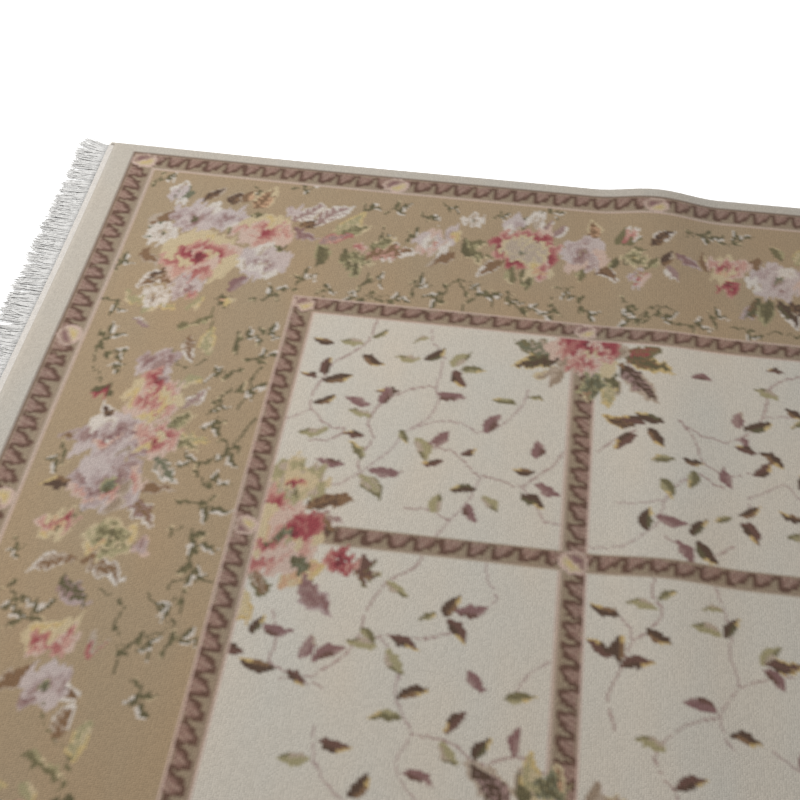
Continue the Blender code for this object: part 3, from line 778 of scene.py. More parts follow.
# Each twig has its middle, along and across, then its heading, its size and its flip
SIDE_TWIGS = (
    (12.5, 10.6, -40, 4.4, 1), (38.2, 8.8, 10, 3.8, 1), (55.5, 12.6, -20, 4.0, 1),
    (61.5, 13.9, 30, 3.4, -1), (50.6, 13.8, -60, 3.6, 1), (55.1, 20.2, 60, 3.4, -1),
    (59.2, 20.4, -60, 3.4, 1), (42.3, 35.4, -70, 4.8, 1), (37.4, 40.2, -50, 4.8, -1),
    (53.6, 34.0, -40, 4.6, 1), (52.6, 38.0, 160, 4.6, 1), (57.5, 38.2, -20, 4.4, -1),
    (61.6, 33.6, -60, 4.4, 1), (65.7, 35.2, 120, 4.8, 1), (70.2, 32.8, 20, 4.6, -1),
    (73.0, 35.0, -10, 4.4, 1), (77.0, 34.4, 30, 4.4, 1), (80.2, 36.6, 10, 5.0, -1),
    (84.4, 36.6, 100, 4.4, 1), (90.4, 35.2, 60, 4.8, -1), (97.2, 33.9, 70, 4.4, 1),
    (98.6, 36.6, 150, 4.6, 1), (102.0, 36.0, -20, 4.8, 1), (107.4, 37.0, 0, 4.6, -1),
    (111.6, 34.8, -70, 4.4, 1), (116.4, 37.4, 40, 4.0, 1), (82.9, 9.8, -10, 4.0, 1),
    (65.2, 10.5, 20, 3.4, -1), (74.2, 12.0, -30, 3.0, 1), (110.2, 12.2, 20, 5.0, 1),
    (115.6, 12.4, -40, 4.6, -1), (127.4, 37.0, 20, 4.4, 1), (133.0, 37.2, -40, 4.2, -1),
    (46.6, 38.4, -80, 3.4, 1), (30.6, 11.0, 60, 3.0, 1), (86.4, 31.6, 40, 3.4, 1),
)
END_TWIGS = (
    (13.9, 55.2, -70, 5.2, 1), (15.6, 58.0, 30, 4.8, -1), (17.5, 60.0, 100, 3.4, 1),
    (11.4, 36.0, -70, 4.0, 1), (12.6, 46.4, 40, 4.2, 1), (35.2, 52.3, -60, 4.6, 1),
    (38.6, 50.6, -50, 4.6, 1), (38.6, 55.4, -30, 4.6, -1), (34.6, 60.0, 160, 4.6, 1),
    (37.6, 63.8, -10, 5.4, 1), (34.8, 66.6, 90, 4.0, -1), (35.2, 71.0, 80, 4.4, 1),
    (34.4, 80.0, 170, 4.4, 1), (38.2, 76.8, 70, 4.6, 1), (36.6, 83.0, 0, 4.6, -1),
    (36.6, 89.0, 20, 6.0, 1), (36.4, 95.4, 30, 6.0, 1), (37.6, 100.2, 80, 5.0, -1),
    (33.4, 115.0, -20, 5.0, 1), (38.8, 113.6, -50, 5.0, 1), (15.2, 109.0, 70, 5.0, 1),
    (18.2, 111.0, -60, 5.0, -1), (14.2, 81.6, 100, 4.4, 1), (36.0, 122.4, 80, 4.6, 1),
    (14.0, 119.4, 80, 4.4, -1), (36.6, 107.0, 120, 4.0, 1), (12.8, 99.6, 90, 3.6, 1),
)
WANDERING_STEMS = (
    ((30.4, 57.6), (28.6, 60.0), (26.0, 58.6)),
    ((39.9, 57.5), (38.9, 60.3), (38.9, 64.6), (38.2, 67.9)),
    ((41.1, 69.8), (39.2, 74.5), (38.7, 76.8), (35.6, 80.1)),
    ((13.5, 57.0), (13.5, 60.8), (15.8, 65.0)),
    ((32.8, 105.6), (35.6, 108.9), (37.5, 110.8), (33.3, 113.6), (31.9, 115.5), (31.6, 119.0)),
    ((26.4, 105.8), (30.2, 108.4), (30.0, 112.0), (32.4, 116.4)),
    ((41.2, 102.6), (36.2, 102.4), (35.4, 104.4)), ((66.4, 33.2), (68.6, 31.0), (72.2, 32.4)),
    ((70.2, 39.0), (70.4, 36.4), (72.6, 34.6), (76.4, 34.8)),
    ((52.4, 40.6), (55.2, 37.6), (60.4, 36.8), (65.4, 35.0)),
    ((96.4, 38.8), (98.4, 36.6), (101.0, 33.4), (104.4, 33.2)),
    ((118.4, 38.6), (121.0, 36.6), (126.0, 36.8)), ((107.4, 13.2), (110.6, 11.6), (113.0, 13.2)),
)

# The far side is drawn as listed, and the near side is its mirror image
border_pens = (Cartoon(rough=SHADED), Cartoon(0.0, WIDTH, flip=-1.0, rough=SHADED))
twig_pens = (Cartoon(), Cartoon(0.0, WIDTH, flip=-1.0))
for points in WANDERING_STEMS:
    for pen in twig_pens:
        if points[0][1] < field_top or pen.flip > 0.0:
            pen.stem(points, "moss")
for x, y, heading, size, flip in END_TWIGS:
    twig_pens[0].twig(x, y, heading, size, flip)
for pen in twig_pens:
    for x, y, heading, size, flip in SIDE_TWIGS:
        pen.twig(x, y, heading, size, flip)
end_bouquet(border_pens[0])
for pen in border_pens:
    corner_bouquet(pen)
    crimson_bouquet(pen)
    pale_bouquet(pen)

# The other half of the rug is the first turned end for end, and a great rose stands in the
# middle of each long side
half = KNOTS_ALONG // 2
chart[:, half:] = chart[::-1, :half][:, ::-1]
for pen in border_pens:
    pen = pen.moved(LENGTH / 2.0, 0.0)
    pen.blossom(0.0, 21.4, 5.6, [GOLDEN, CREAM, PINK, ROSE, PINK, CREAM, ROSE, CREAM],
                [ROSE, PINK, CRIMSON, CREAM, ROSE], CRIMSON_EYE)


# The stripes that part the panels, and the half bouquets at their ends
# The divider stripes run on under a bouquet of roses and leaves wherever they meet the inner
# guard stripe; only the half of each bouquet that lies in the field is knotted.
def half_bouquet(pen):
    """A crimson rose over a divider's end, leaves fanned round it; heading 90 leads into the field."""
    leaves(pen, (
        ((-2.4, 7.0), (-8.0, 10.4), ("taupe", "stone", "cream")),
        ((-3.4, 5.4), (-11.6, 8.4), ("brown", "moss", "yellow")),
        ((-3.6, 3.0), (-11.8, 2.0), ("grey_green", "stone", "olive")),
        ((-3.0, 8.0), (-5.0, 13.0), ("taupe", "stone", "white")),
        ((5.8, 3.0), (14.2, 6.8), ("moss", "chestnut", "yellow")),
        ((6.4, 1.6), (13.0, 0.6), ("chestnut", "crimson", "olive")),
        ((5.6, 5.4), (10.0, 12.4), ("chestnut", "brown", "stone")),
        ((6.8, 5.2), (12.2, 13.6), ("brown", "mauve", "stone")),
        ((3.4, 7.6), (5.6, 13.2), ("moss", "olive", "stone")), ((1.6, 9.4), (0.6, 14.8), LEAF_PEACH),
        ((3.0, 9.6), (4.0, 15.8), LEAF_SUN),
    ))
    pen.ring(0.8, 2.2, 4.4, 4.8, [DUSTY, CREAM, DUSTY, BLUSH, DUSTY, PINK], 0.0)
    pen.blossom(0.9, 1.6, 5.0, [CRIMSON, ROSE, PINK, ROSE, CRIMSON, ROSE, CRIMSON],
                [ROSE, PINK, CRIMSON, BLUSH], CRIMSON, 0.0)
    pen.blossom(0.6, 5.8, 3.4, [CREAM, PINK, CREAM, BLUSH, ROSE, PINK], [BLUSH, PINK, ROSE], ROSE)
    pen.star(1.5, 10.6, 2.5, GREEN_EYE, GREEN_EYE, 5, 90.0)


def side_bouquet(pen):
    """The larger half bouquet at an end of the long divider; heading 0 leads into the field."""
    leaves(pen, (
        ((5.8, -4.6), (13.0, -7.4), ("chestnut", "brown", "chestnut")),
        ((6.2, -3.4), (12.4, -3.0), LEAF_FROST),
        ((6.0, -2.4), (11.0, -0.4), ("chestnut", "mauve", "brown")),
        ((5.8, 4.4), (9.6, 9.4), ("moss", "grey_green", "olive")),
        ((4.4, 10.4), (11.0, 4.8), ("peach", "cream", "yellow")),
        ((7.4, 7.8), (12.8, 14.2), LEAF_MAUVE),
        ((0.8, 7.4), (2.8, 13.0), ("chestnut", "stone", "olive")),
        ((0.2, 11.6), (1.6, 17.6), ("cream", "yellow", "gold")),
    ))
    pen.blossom(4.0, -10.0, 4.6,
                [SPRING, ("pale_olive", "stone", "stone"), SPRING, ("stone", "pale_olive", "cream")] * 2,
                [CREAM, ("pale_olive", "stone", "cream"), CREAM], CRIMSON, 0.0)
    pen.ring(1.6, -3.6, 2.6, 3.6, [CRIMSON, ROSE, PINK, CREAM, CRIMSON], 200.0)
    pen.blossom(2.9, 1.4, 6.4, [CREAM, PINK, BLUSH, ROSE, CREAM, CRIMSON, ROSE, CREAM, BLUSH, CRIMSON],
                [CREAM, BLUSH, ROSE, CREAM, BLUSH, CRIMSON], GREEN_EYE, 0.0)
    pen.oval(6.8, 5.6, 40.0, 3.4, 2.4, ("moss", "grey_green", "moss"))
    for tip in ((17.6, 2.6), (18.6, 5.4), (16.8, 7.6)):
        pen.leaf_to((14.0, 4.6), tip, ("maroon", "chestnut", "olive"), 0.4)
    pen.blossom(12.6, 4.4, 2.3, [CRIMSON, ROSE, CRIMSON, ROSE], [CRIMSON] * 2, GARNET_EYE)


for line in divider_lines_along:
    shell_stripe(
        line + DIVIDER / 2.0, field_top, field_bottom - field_top, DIVIDER, 90.0,
        [panel_across + DIVIDER / 2.0], mitred=False,
    )
shell_stripe(
    field_start, divider_line_across - DIVIDER / 2.0, field_end - field_start, DIVIDER, 0.0,
    [line - field_start for line in divider_lines_along], mitred=False,
)
for line in divider_lines_along:
    button(line, divider_line_across, 4.6, 90.0)
field_area = (field_start, field_top, field_end, field_bottom)
for line in divider_lines_along:
    half_bouquet(Cartoon(line, field_top, within=field_area, rough=SHADED))
    half_bouquet(Cartoon(line, field_bottom, 180.0, within=field_area, rough=SHADED))
side_bouquet(Cartoon(field_start, divider_line_across, within=field_area, rough=SHADED))
side_bouquet(Cartoon(field_end, divider_line_across, 180.0, within=field_area, rough=SHADED))


# The guard stripes
# Two frames of ribbed shells between fine lines, one round the tan border and one round the
# field. Both run over the bouquets, with a round button at each corner and at set places between.
SIDE_BUTTONS = (54.8, 101.7, LENGTH / 2.0, LENGTH - 101.7, LENGTH - 54.8)
END_BUTTONS = (55.1, WIDTH / 2.0, WIDTH - 55.1)


def guard_frame(low_a, low_b, width, side_buttons, end_buttons):
    """A guard stripe all round at one inset, with a button in each corner and at the places given."""
    high_a = LENGTH - low_a
    high_b = WIDTH - low_b
    across = high_b - low_b
    along = high_a - low_a
    middle = width / 2.0
    for far in (True, False):
        line = low_b if far else high_b
        turn = 0.0 if far else 180.0
        start = low_a if far else high_a
        breaks = [b - low_a for b in side_buttons]
        shell_stripe(start, line, along, width, turn, breaks, mitred=True)
    for left in (True, False):
        line = high_b if left else low_b
        turn = 270.0 if left else 90.0
        start = low_a if left else high_a
        breaks = [b - low_b for b in end_buttons]
        shell_stripe(start, line, across, width, turn, breaks, mitred=True)
    for a in (low_a + middle, high_a - middle):
        for b in (low_b + middle, high_b - middle):
            button(a, b, width * 0.92, 0.0 if b < WIDTH / 2.0 else 180.0)
    for a in side_buttons:
        button(a, low_b + middle, width * 0.92)
        button(a, high_b - middle, width * 0.92, 180.0)
    for b in end_buttons:
        button(low_a + middle, b, width * 0.92, 270.0)
        button(high_a - middle, b, width * 0.92, 90.0)


guard_frame(END_EDGE, SIDE_EDGE, OUTER_GUARD, SIDE_BUTTONS, END_BUTTONS)
inner_low_a = END_EDGE + OUTER_GUARD + TAN_BORDER
inner_low_b = SIDE_EDGE + OUTER_GUARD + TAN_BORDER
guard_frame(inner_low_a, inner_low_b, INNER_GUARD, divider_lines_along, [divider_line_across])


# The wool pile
# Knotted wool cut to an even 7 mm. It is made in twelve fields that meet without a seam, one
# face to a knot where the colour changes and larger faces over plain ground, and it falls away
# to the foundation along the edges, where the outer knots lean out.
FIELDS_ALONG = 4
FIELDS_ACROSS = 3
PILE_TOP = 0.011
EDGE_KNOTS = 5
LARGEST_BLOCK = 8
RIPPLE_BLOCK = 4
UNWRAP_MARGIN = 0.004
END_FALL = ((0.0100, 0.0046), (0.0130, 0.0090), (0.0190, PILE_TOP))
SIDE_FALL = ((0.0050, 0.0062), (0.0080, 0.0094), (0.0150, PILE_TOP))


def pile_height(x, y):
    """Height of the pile's tips over the underside at x, y of the straight cloth."""
    end_inset = CLOTH_LENGTH / 2.0 - np.abs(x)
    side_inset = CLOTH_WIDTH / 2.0 - np.abs(y)
    at_end = np.interp(end_inset, [i for i, _ in END_FALL], [h for _, h in END_FALL])
    at_side = np.interp(side_inset, [i for i, _ in SIDE_FALL], [h for _, h in SIDE_FALL])
    return np.minimum(at_end, at_side)


def block_sizes():
    """The size of the face that starts at each knot, 0 where a larger one covers it."""
    sizes = np.ones(chart.shape, dtype=np.int16)
    covered = np.zeros(chart.shape, dtype=bool)
    rim = np.zeros(chart.shape, dtype=bool)
    rim[:EDGE_KNOTS, :] = rim[-EDGE_KNOTS:, :] = True
    rim[:, :EDGE_KNOTS] = rim[:, -EDGE_KNOTS:] = True
    ripple_low = 100.0 * (min(RIPPLE_CRESTS) - RIPPLE_FOOT)
    ripple_high = 100.0 * (max(RIPPLE_CRESTS) + RIPPLE_FOOT)
    in_ripple = (knot_along > ripple_low) & (knot_along < ripple_high)
    mixed = np.zeros(chart.shape, dtype=bool)
    for down in (-1, 0, 1):
        for right in (-1, 0, 1):
            mixed |= np.roll(chart, (down, right), axis=(0, 1)) != chart
    size = LARGEST_BLOCK
    while size > 1:
        shape = (KNOTS_ACROSS // size, size, KNOTS_ALONG // size, size)
        kept = rim | covered | mixed
        plain = ~kept.reshape(shape).any(axis=(1, 3))
        if size > RIPPLE_BLOCK:
            plain &= ~in_ripple.reshape(KNOTS_ALONG // size, size).any(axis=1)[None, :]
        full = np.repeat(np.repeat(plain, size, axis=0), size, axis=1)
        sizes[full] = 0
        starts = np.zeros(chart.shape, dtype=bool)
        starts[::size, ::size] = plain
        sizes[starts] = size
        covered |= full
        size //= 2
    return sizes


def placed(name, data):
    """A new object of the scene that holds this mesh, light or camera."""
    item = bpy.data.objects.new(name, data)
    bpy.context.scene.collection.objects.link(item)
    return item


def pile_field(sizes, used, row, column):
    """One field of the pile: a face for each knot or plain block, with the colour of its wool."""
    knots_a = KNOTS_ALONG // FIELDS_ALONG
    knots_b = KNOTS_ACROSS // FIELDS_ACROSS
    i0 = column * knots_a
    j0 = row * knots_b
    part = sizes[j0:j0 + knots_b, i0:i0 + knots_a]
    stride = KNOTS_ALONG + 1
    single_b, single_a = np.nonzero(part == 1)
    corner = (single_b + j0) * stride + single_a + i0
    quads = np.stack([corner, corner + stride, corner + stride + 1, corner + 1], 1)
    loops = [quads.ravel()]
    counts = [np.full(len(quads), 4)]
    block_loops = []
    block_counts = []
    for j, i in zip(*np.nonzero(part > 1)):
        size = int(part[j, i])
        i, j = int(i) + i0, int(j) + j0
        rim = [(j + k, i) for k in range(size)] + [(j + size, i + k) for k in range(size)]
        rim += [(j + size - k, i + size) for k in range(size)] + [(j, i + size - k) for k in range(size)]
        rim = [b * stride + a for b, a in rim if used[b, a]]
        if len(rim) == 4:
            block_loops += rim
            block_counts.append(4)
            continue
        centre = (j + size // 2) * stride + i + size // 2
        for first, second in zip(rim, rim[1:] + rim[:1]):
            block_loops += (centre, first, second)
            block_counts.append(3)
    loops = np.concatenate(loops + [np.array(block_loops, dtype=np.int64)])
    counts = np.concatenate(counts + [np.array(block_counts, dtype=np.int64)])
    points, loops = np.unique(loops, return_inverse=True)
    b, a = np.divmod(points, stride)
    x = (END_BARE + a * KNOT_ALONG) / 100.0 - CLOTH_LENGTH / 2.0
    y = CLOTH_WIDTH / 2.0 - (SIDE_BARE + b * KNOT_ACROSS) / 100.0
    places = laid(x, y, pile_height(x, y))
    starts = np.concatenate([[0], np.cumsum(counts)[:-1]])
    mesh = bpy.data.meshes.new(f"pile_{row + 1}_{column + 1}")
    mesh.vertices.add(len(points))
    mesh.vertices.foreach_set("co", places.ravel())
    mesh.loops.add(len(loops))
    mesh.loops.foreach_set("vertex_index", loops.astype(np.int32))
    mesh.polygons.add(len(counts))
    mesh.polygons.foreach_set("loop_start", starts.astype(np.int32))
    mesh.update(calc_edges=True)
    mesh.validate()
    flat = np.stack([(a - i0) / knots_a, (b - j0) / knots_b], 1)
    unwrap = mesh.uv_layers.new(name="OFBake")
    unwrap.data.foreach_set("uv", (UNWRAP_MARGIN + (1.0 - 2.0 * UNWRAP_MARGIN) * flat[loops]).ravel())
    dyed = mesh.color_attributes.new("wool", "FLOAT_COLOR", "POINT")
    dyed.data.foreach_set("color", corner_colours[b, a].ravel())
    mesh.shade_smooth()
    return placed(mesh.name, mesh)


def value_node(tree, kind, x, y, **settings):
    """Add a node at a place in a tree, with its settings."""
    node = tree.nodes.new(kind)
    node.location = (x, y)
    for key, value in settings.items():
        setattr(node, key, value)
    return node


def two_tones(ramp, low, low_colour, high, high_colour):
    """Set a colour ramp to go from one colour at a low value to another at a high one."""
    first, last = ramp.color_ramp.elements
    first.position = low
    first.color = (*low_colour, 1.0)
    last.position = high
    last.color = (*high_colour, 1.0)


def knot_relief():
    """Node group: the knots' rows and the cut fibre tips, as a height, and a shade that mixes a random tone
    for each knot with painted light and shade, darker where the fibre tips sink.
    """
    group = bpy.data.node_groups.new("knot relief", "ShaderNodeTree")
    group.interface.new_socket("Knot Size", in_out="INPUT", socket_type="NodeSocketFloat")
    group.interface.new_socket("Height", in_out="OUTPUT", socket_type="NodeSocketFloat")
    group.interface.new_socket("Shade", in_out="OUTPUT", socket_type="NodeSocketFloat")
    links = group.links
    given = value_node(group, "NodeGroupInput", -900, 0)
    result = value_node(group, "NodeGroupOutput", 700, 0)
    place = value_node(group, "ShaderNodeTexCoord", -900, -200)
    scaled = value_node(group, "ShaderNodeVectorMath", -700, -100, operation="DIVIDE")
    links.new(place.outputs["Object"], scaled.inputs[0])
    links.new(given.outputs["Knot Size"], scaled.inputs[1])
    cells = value_node(group, "ShaderNodeTexVoronoi", -450, 150, voronoi_dimensions="2D")
    cells.inputs["Scale"].default_value = 1.0
    cells.inputs["Randomness"].default_value = 0.45
    links.new(scaled.outputs[0], cells.inputs["Vector"])
    fibres = value_node(group, "ShaderNodeTexNoise", -450, -150)
    fibres.inputs["Scale"].default_value = 3.2
    fibres.inputs["Detail"].default_value = 3.0
    fibres.inputs["Roughness"].default_value = 0.65
    links.new(scaled.outputs[0], fibres.inputs["Vector"])
    dome = value_node(group, "ShaderNodeMath", -150, 150, operation="SUBTRACT")
    dome.inputs[0].default_value = 1.0
    links.new(cells.outputs["Distance"], dome.inputs[1])
    tips = value_node(group, "ShaderNodeMath", 100, 0, operation="MULTIPLY_ADD")
    tips.inputs[1].default_value = 0.9
    links.new(fibres.outputs["Fac"], tips.inputs[0])
    links.new(dome.outputs[0], tips.inputs[2])
    links.new(tips.outputs[0], result.inputs["Height"])
    # Painted light and shade: half of the shade is the fibre noise of the height, lighter where the tips
    # rise and darker where they sink; the other half is a random tone for each knot
    tint = value_node(group, "ShaderNodeSeparateColor", -150, -60)
    links.new(cells.outputs["Color"], tint.inputs[0])
    shade = value_node(group, "ShaderNodeMath", 100, -200, operation="ADD")
    links.new(tint.outputs[0], shade.inputs[0])
    links.new(fibres.outputs["Fac"], shade.inputs[1])
    half_shade = value_node(group, "ShaderNodeMath", 300, -200, operation="MULTIPLY")
    half_shade.inputs[1].default_value = 0.5
    links.new(shade.outputs[0], half_shade.inputs[0])
    links.new(half_shade.outputs[0], result.inputs["Shade"])
    return group


def uneven_dye():
    """Node group: the slow change of tone where one dye lot of wool follows another."""
    group = bpy.data.node_groups.new("uneven dye", "ShaderNodeTree")
    group.interface.new_socket("Color", in_out="INPUT", socket_type="NodeSocketColor")
    group.interface.new_socket("Strength", in_out="INPUT", socket_type="NodeSocketFloat")
    group.interface.new_socket("Color", in_out="OUTPUT", socket_type="NodeSocketColor")
    links = group.links
    given = value_node(group, "NodeGroupInput", -900, 0)
    result = value_node(group, "NodeGroupOutput", 700, 0)
    place = value_node(group, "ShaderNodeTexCoord", -900, -250)
    stretched = value_node(group, "ShaderNodeMapping", -700, -250)
    stretched.inputs["Scale"].default_value = (9.0, 3.4, 1.0)
    links.new(place.outputs["Object"], stretched.inputs["Vector"])
    clouds = value_node(group, "ShaderNodeTexNoise", -480, -200)
    clouds.inputs["Scale"].default_value = 1.0
    clouds.inputs["Detail"].default_value = 2.5
    links.new(stretched.outputs[0], clouds.inputs["Vector"])
    tones = value_node(group, "ShaderNodeValToRGB", -250, -200)
    two_tones(tones, 0.32, (0.96, 0.98, 0.985), 0.70, (1.03, 0.99, 0.94))
    links.new(clouds.outputs["Fac"], tones.inputs["Fac"])
    toned = value_node(group, "ShaderNodeMix", 200, 0, data_type="RGBA", blend_type="MULTIPLY")
    links.new(given.outputs["Strength"], toned.inputs["Factor"])
    links.new(given.outputs["Color"], toned.inputs["A"])
    links.new(tones.outputs["Color"], toned.inputs["B"])
    links.new(toned.outputs["Result"], result.inputs["Color"])
    return group


knot_group = knot_relief()
dye_group = uneven_dye()


def fibre_material(name, roughness, specular, sheen):
    """A new matt material of spun fibres with a soft bloom, and the shader inside it."""
    material = bpy.data.materials.new(name)
    material.use_nodes = True
    shader = material.node_tree.nodes["Principled BSDF"]
    shader.inputs["Roughness"].default_value = roughness
    shader.inputs["Specular IOR Level"].default_value = specular
    shader.inputs["Sheen Weight"].default_value = sheen
    return material, shader


def raised_knots(tree, shader, knot_size, strength, depth):
    """Raise a material's surface in knots or ribs, and return the node that holds their relief."""
    relief = value_node(tree, "ShaderNodeGroup", -950, -200, node_tree=knot_group)
    relief.inputs["Knot Size"].default_value = knot_size
    bump = value_node(tree, "ShaderNodeBump", -300, -250)
    bump.inputs["Strength"].default_value = strength
    bump.inputs["Distance"].default_value = depth
    tree.links.new(relief.outputs["Height"], bump.inputs["Height"])
    tree.links.new(bump.outputs["Normal"], shader.inputs["Normal"])
    return relief


def wool_material():
    """Cut wool pile: the knot's own colour, uneven dye, a random tone for each knot with painted light and
    shade on the fibre tips, and a soft bloom.
    """
    material, shader = fibre_material("wool pile", roughness=0.92, specular=0.12, sheen=0.12)
    tree = material.node_tree
    links = tree.links
    dyed = value_node(tree, "ShaderNodeAttribute", -1200, 200, attribute_name="wool")
    uneven = value_node(tree, "ShaderNodeGroup", -950, 200, node_tree=dye_group)
    uneven.inputs["Strength"].default_value = 0.9
    relief = raised_knots(tree, shader, knot_size=0.0030, strength=0.55, depth=0.0010)
    # Painted light and shade: the colour is multiplied by 0.88 to 1.12, lighter where the fibre tips rise
    # and darker where they sink, with a random tone for each knot
    shade = value_node(tree, "ShaderNodeMapRange", -700, -100)
    shade.inputs["To Min"].default_value = 0.88
    shade.inputs["To Max"].default_value = 1.12
    # The dyed colour with the painted light and shade of the fibre tips
    tipped = value_node(tree, "ShaderNodeMix", -400, 200, data_type="RGBA", blend_type="MULTIPLY")
    tipped.inputs["Factor"].default_value = 1.0
    tone_and_shade = value_node(tree, "ShaderNodeCombineColor", -550, 0)
    links.new(dyed.outputs["Color"], uneven.inputs["Color"])
    links.new(relief.outputs["Shade"], shade.inputs["Value"])
    for socket in ("Red", "Green", "Blue"):
        links.new(shade.outputs["Result"], tone_and_shade.inputs[socket])
    links.new(uneven.outputs["Color"], tipped.inputs["A"])
    links.new(tone_and_shade.outputs["Color"], tipped.inputs["B"])
    links.new(tipped.outputs["Result"], shader.inputs["Base Color"])
    return material


pile_wool = wool_material()
sizes = block_sizes()
used = np.zeros((KNOTS_ACROSS + 1, KNOTS_ALONG + 1), dtype=bool)
starts_b, starts_a = np.nonzero(sizes > 0)
block_size = sizes[starts_b, starts_a]
for down, right in ((0, 0), (0, 1), (1, 0), (1, 1)):
    used[starts_b + down * block_size, starts_a + right * block_size] = True

# The tips of neighbouring knots blend, so a corner has the mean colour of the knots around it
padded = np.pad(wool_colours[chart], ((1, 1), (1, 1), (0, 0)), mode="edge")
corner_colours = (padded[1:, 1:] + padded[1:, :-1] + padded[:-1, 1:] + padded[:-1, :-1]) / 4.0
for row in range(FIELDS_ACROSS):
    for column in range(FIELDS_ALONG):
        field = pile_field(sizes, used, row, column)
        field.data.materials.append(pile_wool)
        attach(field, "root")


# The foundation
# The cotton warps and wefts that the knots are tied on: a thin firm cloth under the whole pile.
# It shows as the short flat-woven band at each end and on the underside.
FOUNDATION_TOP = 0.0040
FOUNDATION_STEPS = (121, 61)
FOUNDATION_INSET = 0.002
FOUNDATION_COTTON = (197, 192, 186)
WEFT_PITCH = 0.0016


def shaped(name, points, faces):
    """A new object from a list of points and a list of faces, shaded smooth."""
    mesh = bpy.data.meshes.new(name)
    mesh.from_pydata(points, [], faces)
    mesh.shade_smooth()
    return placed(name, mesh)


def grid_slab(name, xs, ys, low, high):
    """A closed slab over a grid of places, following the lie of the cloth."""
    across = len(ys)
    grid_x, grid_y = np.meshgrid(xs, ys, indexing="ij")
    top = laid(grid_x, grid_y, np.full(grid_x.shape, high)).reshape(-1, 3)
    under = laid(grid_x, grid_y, np.full(grid_x.shape, low)).reshape(-1, 3)
    count = len(top)
    i, j = np.meshgrid(np.arange(len(xs) - 1), np.arange(across - 1), indexing="ij")
    a = (i * across + j).ravel()
    quads = [np.stack([a, a + across, a + across + 1, a + 1], 1)]
    quads.append(np.stack([a + 1, a + across + 1, a + across, a], 1) + count)
    border = [k * across for k in range(len(xs))]
    border += [(len(xs) - 1) * across + k for k in range(1, across)]
    border += [k * across + across - 1 for k in range(len(xs) - 2, -1, -1)]
    border += [k for k in range(across - 2, 0, -1)]
    border = np.array(border)
    following = np.roll(border, -1)
    quads.append(np.stack([border, border + count, following + count, following], 1))
    slab = shaped(name, np.concatenate([top, under]).tolist(), np.concatenate(quads).tolist())
    slab.data.set_sharp_from_angle(angle=math.radians(40.0))
    return slab


def cotton_material(name, colour, pitch, depth):
    """Plain cotton or wool in ribs of one pitch and depth, with painted shade a little darker in the hollows
    of the fibres, and a random tone for each rib.
    """
    material, shader = fibre_material(name, roughness=0.9, specular=0.15, sheen=0.1)
    tree = material.node_tree
    relief = raised_knots(tree, shader, knot_size=pitch, strength=0.7, depth=depth)
    # Painted shade: the colour drops to 0.8 of itself where the fibre relief sinks, mixed with a random tone
    # for each rib
    ramp = value_node(tree, "ShaderNodeValToRGB", -600, 100)
    two_tones(ramp, 0.25, linear(colour) * 0.80, 0.75, linear(colour))
    tree.links.new(relief.outputs["Shade"], ramp.inputs["Fac"])
    tree.links.new(ramp.outputs["Color"], shader.inputs["Base Color"])
    return material


foundation = grid_slab(
    "foundation",
    np.linspace(-CLOTH_LENGTH / 2.0, CLOTH_LENGTH / 2.0, FOUNDATION_STEPS[0]),
    np.linspace(
        -CLOTH_WIDTH / 2.0 + FOUNDATION_INSET, CLOTH_WIDTH / 2.0 - FOUNDATION_INSET, FOUNDATION_STEPS[1]
    ),
    0.0, FOUNDATION_TOP,
)
woven_cotton = cotton_material("cotton foundation", FOUNDATION_COTTON, pitch=WEFT_PITCH, depth=0.0004)
foundation.data.materials.append(woven_cotton)
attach(foundation, "root")


# The selvedges
# Along each long side the outermost warps are overcast with wool in the colour of the plain
# edge, which makes a firm round cord that keeps the side from fraying.
SELVEDGE_WIDTH = 0.0075
SELVEDGE_HEIGHT = 0.0078
SELVEDGE_STEPS = 420
SELVEDGE_SIDES = 10
SELVEDGE_INSET = 0.004
TURN_SWELL = 0.05
TURN_ANGLE = 2.1


def selvedge(name, side):
    """One overcast side: a flattened round cord with a faint swelling at each turn of wool."""
    half = CLOTH_LENGTH / 2.0 - SELVEDGE_INSET
    xs = np.linspace(-half, half, SELVEDGE_STEPS)
    angles = np.arange(SELVEDGE_SIDES)[None, :] * 2.0 * np.pi / SELVEDGE_SIDES
    swell = np.minimum(1.0 + TURN_SWELL * np.sin(np.arange(SELVEDGE_STEPS) * TURN_ANGLE), 1.0)[:, None]
    middle_y = side * (CLOTH_WIDTH / 2.0 - SELVEDGE_WIDTH / 2.0)
    y = middle_y + np.cos(angles) * SELVEDGE_WIDTH / 2.0 * swell
    z = SELVEDGE_HEIGHT / 2.0 * (1.0 + np.sin(angles) * swell)
    x = np.broadcast_to(xs[:, None], y.shape)
    points = laid(x, y, z).reshape(-1, 3)
    faces = []
    for i in range(SELVEDGE_STEPS - 1):
        for k in range(SELVEDGE_SIDES):
            a = i * SELVEDGE_SIDES + k
            b = i * SELVEDGE_SIDES + (k + 1) % SELVEDGE_SIDES
            faces.append((a, b, b + SELVEDGE_SIDES, a + SELVEDGE_SIDES))
    faces.append(tuple(range(SELVEDGE_SIDES - 1, -1, -1)))
    last = (SELVEDGE_STEPS - 1) * SELVEDGE_SIDES
    faces.append(tuple(range(last, last + SELVEDGE_SIDES)))
    return shaped(name, points.tolist(), faces)


selvedges = [selvedge("selvedge_far", 1.0), selvedge("selvedge_near", -1.0)]
selvedge_wool = cotton_material("overcast wool", WOOLS["edge"], pitch=0.0022, depth=0.0006)
for item in selvedges:
    item.data.materials.append(selvedge_wool)
    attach(item, "root")


